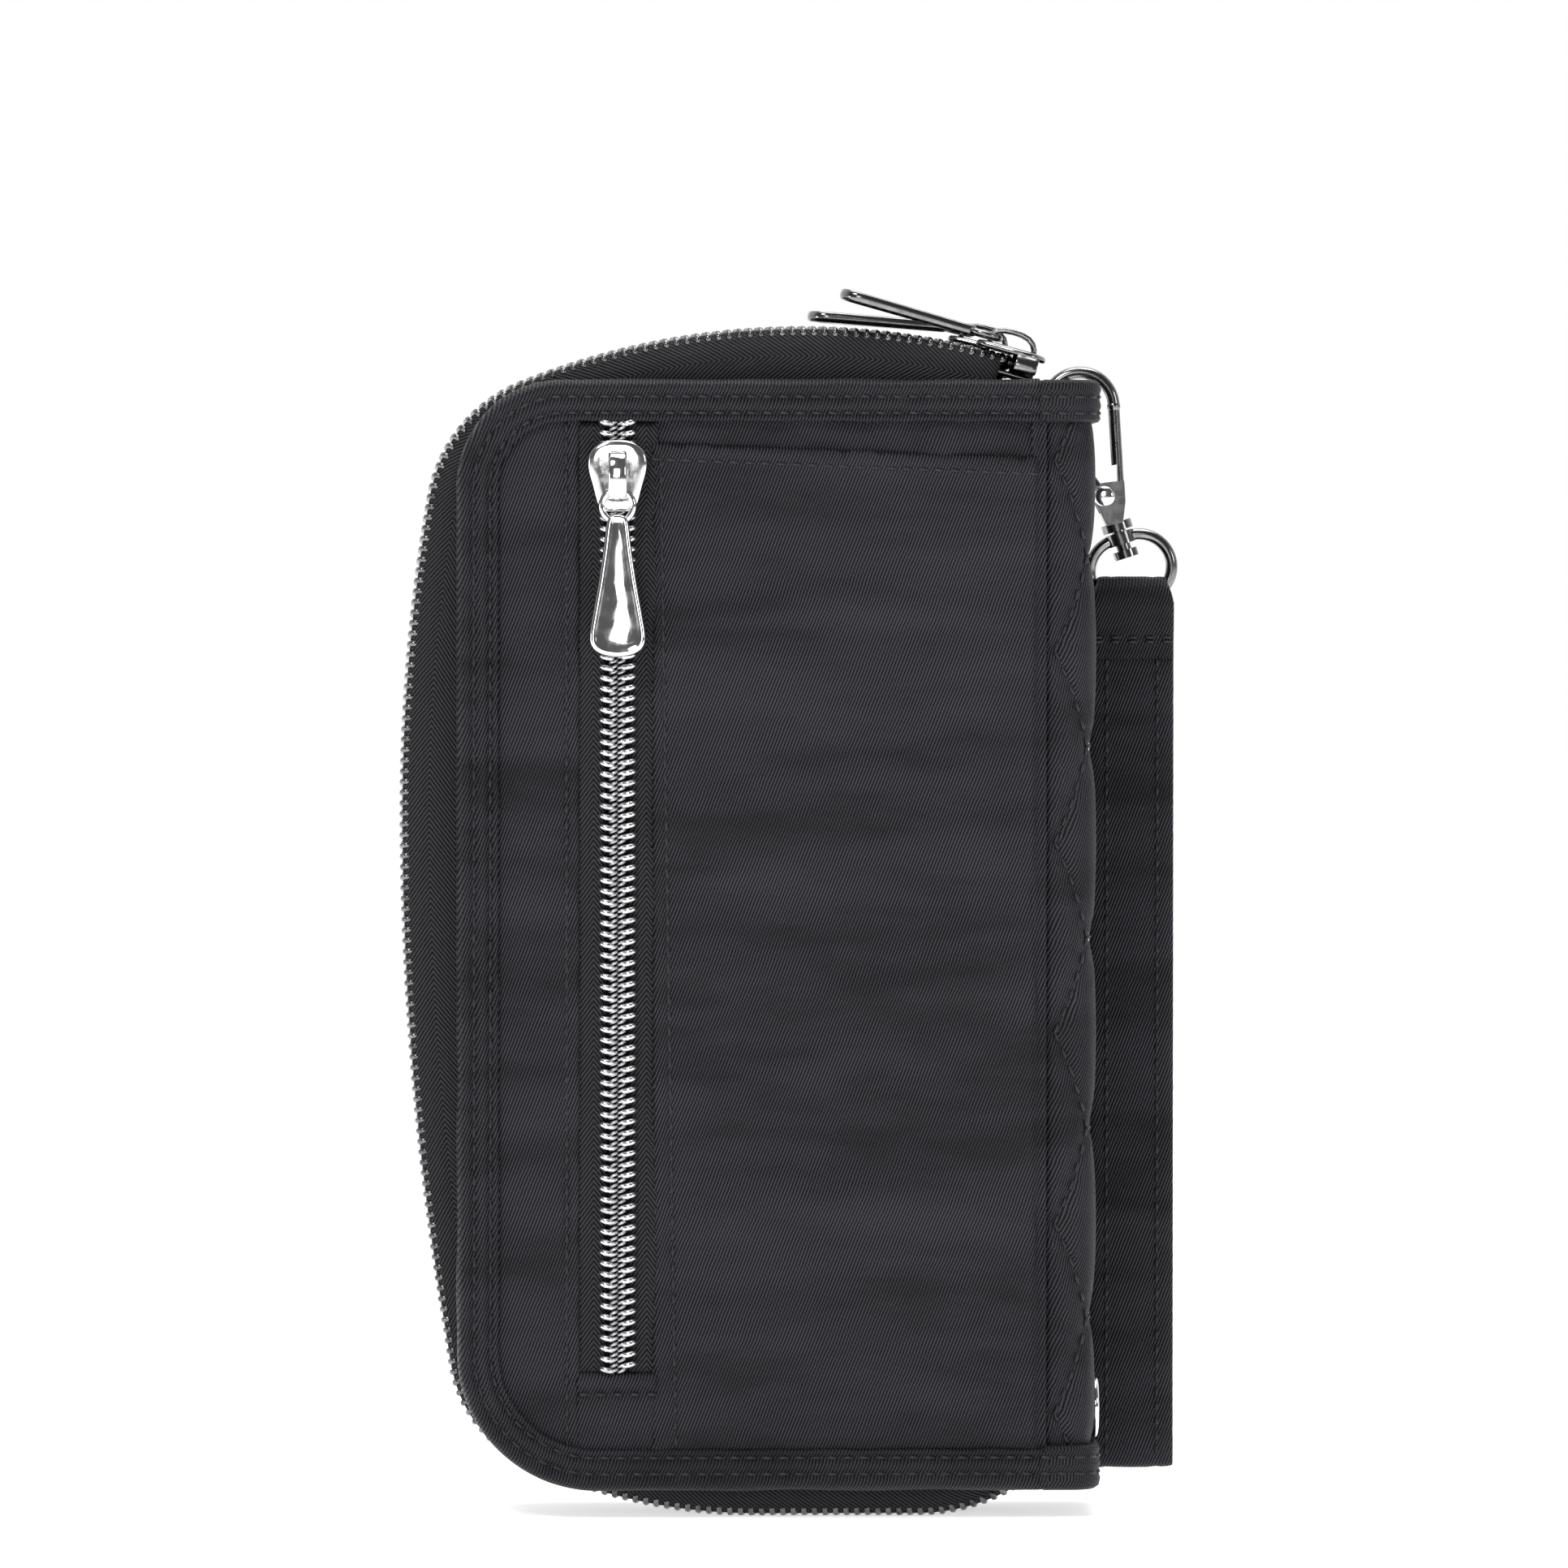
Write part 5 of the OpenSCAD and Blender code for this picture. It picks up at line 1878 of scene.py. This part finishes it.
@dataclass
class WristStrap:
    """The flat loop of webbing that hangs from the swivel ring.

    Attributes:
        left: Its left edge in millimetres.
        width: Its width.
        y: The y of its middle.
        low: Its lowest point.
        eye: Height of the middle of the wire that it hangs from.
        fold_end: Height of the end of the sewn-down fold.
    """

    SEAMS = (58.0, 66.2)  # x of the rows of stitches down it

    left: float = 55.3
    width: float = 13.6
    y: float = 19.3
    low: float = 4.9
    eye: float = 146.2
    fold_end: float = 136.5

    def route(self) -> Array:
        """Works out the middle line of the closed loop.

        Returns:
            Rows of y offset and height.
        """
        half = 0.72
        top = [(-3.0 * sind(a), self.eye + 2.9 * cosd(a)) for a in np.linspace(-120, 120, 17)]
        down = [(-half, z) for z in np.arange(139.5, 8.0, -1.1)]
        under = [(-half * cosd(a), self.low + 1.35 - 0.75 * sind(a)) for a in np.linspace(0, 180, 7)]
        up = [(half, z) for z in np.arange(8.0, 139.6, 1.1)]
        return np.array([*top, (-1.4, 142.4), *down, *under, *up, (1.4, 142.4)])

    def band(self, name: str, line: Array, thick: float, closed: bool, left: float, width: float) -> Piece:
        """Returns a strip of webbing along a line of y offset and height.

        Args:
            name: The piece's name.
            line: Middle line of the strip.
            thick: Its thickness.
            closed: Whether its ends join.
            left: Its left edge.
            width: Its width.
        Returns:
            The strip.
        """
        ahead = np.roll(line, -1, axis=0) - np.roll(line, 1, axis=0)
        if not closed:
            ahead[0], ahead[-1] = line[1] - line[0], line[-1] - line[-2]
        ahead /= np.linalg.norm(ahead, axis=1)[:, None]
        side = np.stack([-ahead[:, 1], ahead[:, 0]], 1)
        run = distances(line)
        shares = [0.0, 0.02, 0.06, 0.14, 0.2, 0.3, 0.5, 0.7, 0.8, 0.86, 0.94, 0.98, 1.0]
        swell = [0.35, 0.75, 0.95, 1.0, 0.8, 1.0, 1.02, 1.0, 0.8, 1.0, 0.95, 0.75, 0.35]
        rings, uvs = [], []
        for i, (y, z) in enumerate(line):
            fray = 0.05 * uneven(run[i] / 1.1, 5.0, 1.0)
            ring, uv = [], []
            for sign, order in ((1, range(13)), (-1, range(12, -1, -1))):
                for k in order:
                    tight = 1 - 0.16 * min(1.0, max(0.0, (z - self.eye + 2.0) / 4.5)) ** 2
                    x = left + width * (0.5 + (shares[k] - 0.5) * tight) + (fray if k in (0, 12) else 0.0)
                    pucker = 0.22 * uneven(run[i] / 2.4, shares[k] * 2.6, 4.0 + sign)
                    off = sign * thick / 2 * (swell[k] + pucker * (0 < k < 12))
                    ring.append((x, self.y + y + off * side[i, 0], z + off * side[i, 1]))
                    uv.append((run[i], width * shares[k]))
            rings.append(ring)
            uvs.append(uv)
        return (loop_piece if closed else tube_piece)(name, np.array(rings), np.array(uvs) * MM)

    def build(self) -> None:
        """Builds the loop, its sewn fold and its stitches."""
        line = self.route()
        loop = self.band("strap_loop", line, 1.15, True, self.left, self.width)
        finish_piece(loop, "strap", STRAP, ["wrist_strap"])
        ends = [(-3.9 * sind(a), self.eye + 3.4 * cosd(a)) for a in np.linspace(20, 115, 8)]
        flap = np.array([*ends, (-2.6, 142.0), (-1.95, 140.2), (-1.8, 138.6), (-1.78, 137.4), (-1.72, self.fold_end)])
        piece = self.band("strap_fold", flap, 0.95, False, self.left + 0.05, self.width - 0.1)
        finish_piece(piece, "strap", STRAP)
        near = self.y - 1.33
        far = self.y + 1.33
        lines = []
        for x in self.SEAMS:
            lines.append(stitch_line([(x, near + 0.1, 136.0), (x, near + 0.1, 8.0)], BACKWARD))
            lines.append(stitch_line([(x, far - 0.1, 139.0), (x, far - 0.1, 8.0)], FORWARD))
        bars = [stitch_line([(self.left + 1.2, self.y - 2.36, z), (self.left + self.width - 1.2, self.y - 2.36, z)],
                            BACKWARD) for z in (140.0, 139.3)]
        sew("strap_stitches", SMALL_STITCH, lines + bars, "strap")


def cushion(name: str, outline: Array, section: Sequence[tuple[float, float]], place: Callable[[Array], Array],
            ) -> Piece:
    """Makes a solid from an outline that shrinks and rises through a section.

    Args:
        name: The piece's name.
        outline: Closed outline in the local plane.
        section: Pairs of inset and height, from the underside to the top.
        place: Turns local points into the pouch's frame.
    Returns:
        The new object.
    """
    ahead = np.roll(outline, -1, axis=0) - np.roll(outline, 1, axis=0)
    area = np.sum(outline[:, 0] * np.roll(outline[:, 1], -1) - np.roll(outline[:, 0], -1) * outline[:, 1])
    side = np.stack([-ahead[:, 1], ahead[:, 0]], 1) / np.linalg.norm(ahead, axis=1)[:, None] * math.copysign(1, area)
    rings = [place(np.column_stack([outline + side * inset, np.full(len(outline), height)]))
             for inset, height in section]
    return tube_piece(name, np.array(rings))


def mirrored(half: Sequence[tuple[float, float]], step: float = 0.45) -> Array:
    """Makes a closed smooth outline from its half.

    Args:
        half: The half on the side of positive v.
        step: Distance between its points.
    Returns:
        The outline.
    """
    data = np.array(list(half) + [(u, -v) for u, v in half[::-1] if v > 0])
    loop = even_loop(data, step)
    for _ in range(3):
        loop = 0.25 * np.roll(loop, 1, axis=0) + 0.5 * loop + 0.25 * np.roll(loop, -1, axis=0)
    return loop


@dataclass(frozen=True)
class PullSet:
    """A slider with its bridge, its wire link and its puller.

    Attributes:
        name: The zip that it belongs to.
        origin: The slider's middle on the outer face of the teeth.
        u: Direction towards the joined teeth.
        v: Direction across the zip.
        w: Direction outwards.
        droop: Angle of the puller below its link in degrees.
        edge_on: Whether the zip's tapes stand on edge.
        finish: The plating.
    """

    PIN = (7.3, 0.0, 2.3)
    CURVE_X, CURVE_Z, CURVE_R = 8.068, 69.568, 120.0  # the top curve of the zips' edge

    name: str
    origin: tuple[float, float, float]
    u: tuple[float, float, float]
    v: tuple[float, float, float]
    w: tuple[float, float, float]
    droop: float
    edge_on: bool
    finish: Metal

    @classmethod
    def on_edge(cls, name: str, y: float, angle: float, droop: float) -> "PullSet":
        """Places a set on a zip round the edge.

        Args:
            name: The zip.
            y: The zip's middle.
            angle: Angle round the top curve in degrees.
            droop: Angle of the puller below its link.
        Returns:
            The set.
        """
        s, c = sind(angle), cosd(angle)
        at = (cls.CURVE_X + cls.CURVE_R * s, y, cls.CURVE_Z + cls.CURVE_R * c)
        return cls(name, at, (-c, 0.0, s), BACKWARD, (s, 0.0, c), droop, True, GUNMETAL)

    def place(self, points: Array) -> Array:
        """Returns local points in the pouch's frame."""
        return np.array(self.origin) + np.asarray(points) @ np.array([self.u, self.v, self.w])

    def drooped(self, points: Array) -> Array:
        """Turns a puller about its pin and places it.

        Args:
            points: Its local points.
        Returns:
            The points in the pouch's frame.
        """
        data = np.asarray(points) - self.PIN
        turned = np.column_stack([data[:, 0] * cosd(self.droop) + data[:, 2] * sind(self.droop), data[:, 1],
                                  -data[:, 0] * sind(self.droop) + data[:, 2] * cosd(self.droop)])
        return self.place(turned + self.PIN)

    def slider(self) -> Piece:
        """Builds the slider's plates, bridge and flanges as one piece.

        Returns:
            The new object.
        """
        half = [(-5.7, 0.0), (-5.65, 1.6), (-5.2, 2.9), (-4.3, 4.1), (-3.0, 4.7), (-1.6, 4.75), (-0.2, 4.5),
                (1.4, 4.0), (3.2, 3.55), (4.6, 3.2), (5.5, 2.5), (5.7, 1.2), (5.7, 0.0)]
        plate = [(0.7, 0.35), (0.2, 0.4), (0.0, 0.62), (0.0, 0.95), (0.12, 1.2), (0.4, 1.38), (0.9, 1.47), (1.6, 1.5)]
        parts = [cushion(f"{self.name}_plate", mirrored(half), plate, self.place)]
        under = [(-5.2, 0.0), (-5.2, 2.0), (-4.7, 2.5), (4.7, 2.5), (5.2, 2.0), (5.2, 0.0)]
        flat = [(0.4, -3.3), (0.05, -3.15), (0.0, -2.8), (0.05, -2.45), (0.4, -2.35)]
        parts.append(cushion(f"{self.name}_under", mirrored(under), flat, self.place))
        web = np.array([(-4.5, -0.2), (-0.5, -0.2), (-0.5, 0.2), (-4.5, 0.2)])
        parts.append(cushion(f"{self.name}_web", web, [(0.0, -2.4), (0.0, 0.5)], self.place))
        parts.append(self.bridge())
        if self.edge_on:
            for sign in (-1, 1):
                lip = rounded_box(-4.6, sign * 4.4 - 0.3, -1.0, sign * 4.4 + 0.3, 0.2, 0.5)
                parts.append(cushion(f"{self.name}_lip", lip, [(0.15, -2.0), (0.0, -1.8), (0.0, 0.6)], self.place))
        return join(f"{self.name}_slider_body", parts)

    def bridge(self) -> Piece:
        """Builds the arched bridge that holds the link.

        Returns:
            The new object.
        """
        line = np.array([(-3.6, 1.2), (-3.45, 2.0), (-3.0, 2.85), (-2.2, 3.45), (-1.0, 3.78), (0.4, 3.85),
                         (1.8, 3.75), (2.9, 3.4), (3.55, 2.7), (3.7, 1.9), (3.65, 1.2)])
        ahead = np.gradient(line, axis=0)
        ahead /= np.linalg.norm(ahead, axis=1)[:, None]
        out = np.stack([-ahead[:, 1], ahead[:, 0]], 1)
        section = [(0.36, -1.4), (0.12, -1.45), (-0.3, -1.35), (-0.4, -1.0), (-0.4, 1.0), (-0.3, 1.35),
                   (0.12, 1.45), (0.36, 1.4), (0.48, 1.0), (0.52, 0.0), (0.48, -1.0)]
        rings = [self.place(np.array([(c[0] + o[0] * h, v, c[1] + o[1] * h) for h, v in section]))
                 for c, o in zip(line, out)]
        return tube_piece(f"{self.name}_bridge", np.array(rings))

    def link(self) -> Piece:
        """Builds the round wire link.

        Returns:
            The new object.
        """
        rings = []
        for a in range(0, 360, 9):
            rings.append(self.place(np.array([(4.8 + (2.5 + 0.55 * cosd(b)) * cosd(a),
                                               (2.5 + 0.55 * cosd(b)) * sind(a), 2.3 + 0.55 * sind(b))
                                              for b in range(0, 360, 30)])))
        return loop_piece(f"{self.name}_wire_link", np.array(rings))

    def puller(self) -> Piece:
        """Builds the puller: narrow at its link, wide and round at its free end, with a raised rim.

        Returns:
            The new object.
        """
        half = [(6.1, 0.0), (6.15, 1.0), (6.6, 1.65), (8.0, 1.85), (12.0, 2.3), (17.0, 3.05), (21.5, 3.85),
                (24.6, 4.4), (26.3, 4.5), (27.6, 3.9), (28.5, 2.4), (28.8, 0.0)]
        section = [(1.3, 1.72), (1.0, 1.6), (0.75, 1.47), (0.4, 1.45), (0.1, 1.65), (0.0, 2.1), (0.0, 2.5),
                   (0.1, 2.95), (0.4, 3.15), (0.75, 3.13), (1.0, 3.0), (1.3, 2.88)]
        return cushion(f"{self.name}_puller_body", mirrored(half), section, self.drooped)

    def build(self) -> None:
        """Builds the three pieces."""
        finish_piece(self.slider(), f"{self.name}_slider", self.finish, [f"{self.name}_slider"])
        finish_piece(self.link(), f"{self.name}_link", self.finish, [f"{self.name}_link"])
        finish_piece(self.puller(), f"{self.name}_puller", self.finish, [f"{self.name}_puller"])


class Hardware:
    """The moulded and cast pieces that keep their CAD shapes, and the domed badge."""

    FINISHES = {
        "d_ring": GUNMETAL, "hook": GUNMETAL, "gate": GUNMETAL, "gate_spring": CHROME,
        "swivel_ring": GUNMETAL, "badge_post": CHROME, "back_board": BOARD, "front_board": BOARD,
        "front_foam": FOAM}
    BADGE_Y, BADGE_Z = -3.0, 17.0

    def badge(self) -> Piece:
        """Builds the badge as a shallow dome with a raised rim.

        Returns:
            The new object.
        """
        section = [(0.0, 5.0), (0.75, 5.0), (1.0, 4.7), (1.0, 4.2), (0.75, 4.0), (0.8, 3.0), (0.95, 1.5), (1.0, 0.15)]
        rings = []
        for x, r in section:
            rings.append([(SPINE_X - 0.5 + x, self.BADGE_Y + r * cosd(a), self.BADGE_Z + r * sind(a))
                          for a in range(0, 360, 9)])
        return tube_piece("badge_dome", np.array(rings))

    def rivet(self) -> Piece:
        """Builds the gate's rivet with a domed head on each side.

        Returns:
            The new object.
        """
        low, high = millimetre_box("gate_rivet")
        cx, cz, r = (low.x + high.x) / 2, (low.z + high.z) / 2, (high.x - low.x) / 2
        section = [(0.55 * r, low.y - 0.55), (0.28 * r, low.y - 0.45), (0.08 * r, low.y - 0.2), (0.0, low.y + 0.05),
                   (0.0, high.y - 0.05), (0.08 * r, high.y + 0.2), (0.28 * r, high.y + 0.45), (0.55 * r, high.y + 0.55)]
        rings = [[(cx + (r - d) * cosd(a), y, cz + (r - d) * sind(a)) for a in range(0, 360, 12)]
                 for d, y in section]
        return tube_piece("rivet_domes", np.array(rings))

    def build(self) -> None:
        """Dresses the CAD pieces and builds the badge, the rivet and the zips' sliders."""
        finish_piece(self.rivet(), "hook", CHROME, ["gate_rivet"])
        for node, finish in self.FINISHES.items():
            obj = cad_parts[node]
            obj.data.materials.clear()
            obj.data.materials.append(finish.material())
            LOG.info("%s dressed", node)
        finish_piece(self.badge(), "core", CHROME, ["badge"])
        PullSet("pocket", (-21.4, -15.6, 165.8), (0.0, 0.0, -1.0), (1.0, 0.0, 0.0), BACKWARD, -4.0, False,
                CHROME).build()
        PullSet.on_edge("back", -6.0, 16.0, 0.0).build()
        PullSet.on_edge("front", 6.0, 14.0, 9.5).build()


@dataclass(frozen=True)
class Studio:
    """The floor, the lights and the camera.

    Attributes:
        centre: Where the camera looks, in metres.
        across: Width of the view at the pouch, in metres.
        distance: Distance of the camera, in metres.
    """

    LIGHTS = (("panel", (-0.1, -1.7, 0.48), 0.5, 3.2), ("key", (-0.45, -1.0, 1.15), 0.35, 10.0),
              ("fill", (1.3, -0.9, 0.5), 0.4, 2.5), ("low", (-1.3, -0.5, 0.15), 0.4, 2.0),
              ("top", (0.1, 0.15, 1.3), 0.9, 12.0))
    FLOOR_GLOW = 0.62
    SENSOR = 36.0

    centre: tuple[float, float, float] = (0.0053, 0.0, 0.1166)
    across: float = 0.2512
    distance: float = 1.5

    def light(self, name: str, at: tuple[float, float, float], size: float, power: float) -> None:
        """Adds a square light aimed at the pouch.

        Args:
            name: The light's name.
            at: Its place in metres.
            size: Its side in metres.
            power: Its power in watts.
        """
        data = bpy.data.lights.new(name, "AREA")
        data.size = size
        data.energy = power
        lamp = placed(name, data)
        lamp.location = at
        lamp.rotation_euler = (Vector(self.centre) - Vector(at)).to_track_quat("-Z", "Y").to_euler()

    def build(self) -> None:
        """Builds the floor, the world, the lights and the camera."""
        mesh = bpy.data.meshes.new("floor")
        mesh.from_pydata([(-6, -6, 0), (6, -6, 0), (6, 6, 0), (-6, 6, 0)], [], [(0, 1, 2, 3)])
        floor = placed("floor", mesh)
        paper = Solid("paper_floor", "board", (0.86, 0.86, 0.86), (0.9, 0.9, 0.9), 0.9, 40.0)
        mesh.materials.append(paper.material())
        shader = paper.material().node_tree.nodes["Principled BSDF"]
        shader.inputs["Emission Color"].default_value = (1, 1, 1, 1)
        shader.inputs["Emission Strength"].default_value = self.FLOOR_GLOW
        world = bpy.data.worlds.new("studio")
        bpy.context.scene.world = world
        world.use_nodes = True
        graph = Graph(world.node_tree)
        parts = graph.add("ShaderNodeSeparateXYZ", {0: graph.add("ShaderNodeTexCoord").outputs["Generated"]})
        shade = graph.remap(parts.outputs["Y"], -0.3, 0.5, 0.1, 1.0)
        graph.put(graph.mix(shade, (0.0, 0.0, 0.0), (1.0, 1.0, 1.0)), world.node_tree.nodes["Background"].inputs[0])
        bpy.context.scene.view_settings.view_transform = "Standard"
        for lamp in self.LIGHTS:
            self.light(*lamp)
        data = bpy.data.cameras.new("camera")
        data.sensor_width = self.SENSOR
        data.lens = self.SENSOR * self.distance / self.across
        data.clip_start, data.clip_end = 0.01, 50
        camera = placed("camera", data)
        camera.location = (self.centre[0] - 0.03, -self.distance, self.centre[2] + 0.035)
        aim = Vector(self.centre) - camera.location
        camera.rotation_euler = aim.to_track_quat("-Z", "Y").to_euler()
        bpy.context.scene.camera = camera


def write_sizes() -> None:
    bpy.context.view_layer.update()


def main() -> None:
    """Builds every piece in order."""
    logging.basicConfig(level=logging.INFO, format="%(message)s")
    Hardware().build()
    for side in Side:
        BoundEdge(side).build()
        ZipAround(side).build()
    BackFace().build()
    PocketZip().build()
    Spine().build()
    QuiltedFront().build()
    Linings().build()
    WristStrap().build()
    Studio().build()
    write_sizes()


if __name__ == "__main__":
    main()
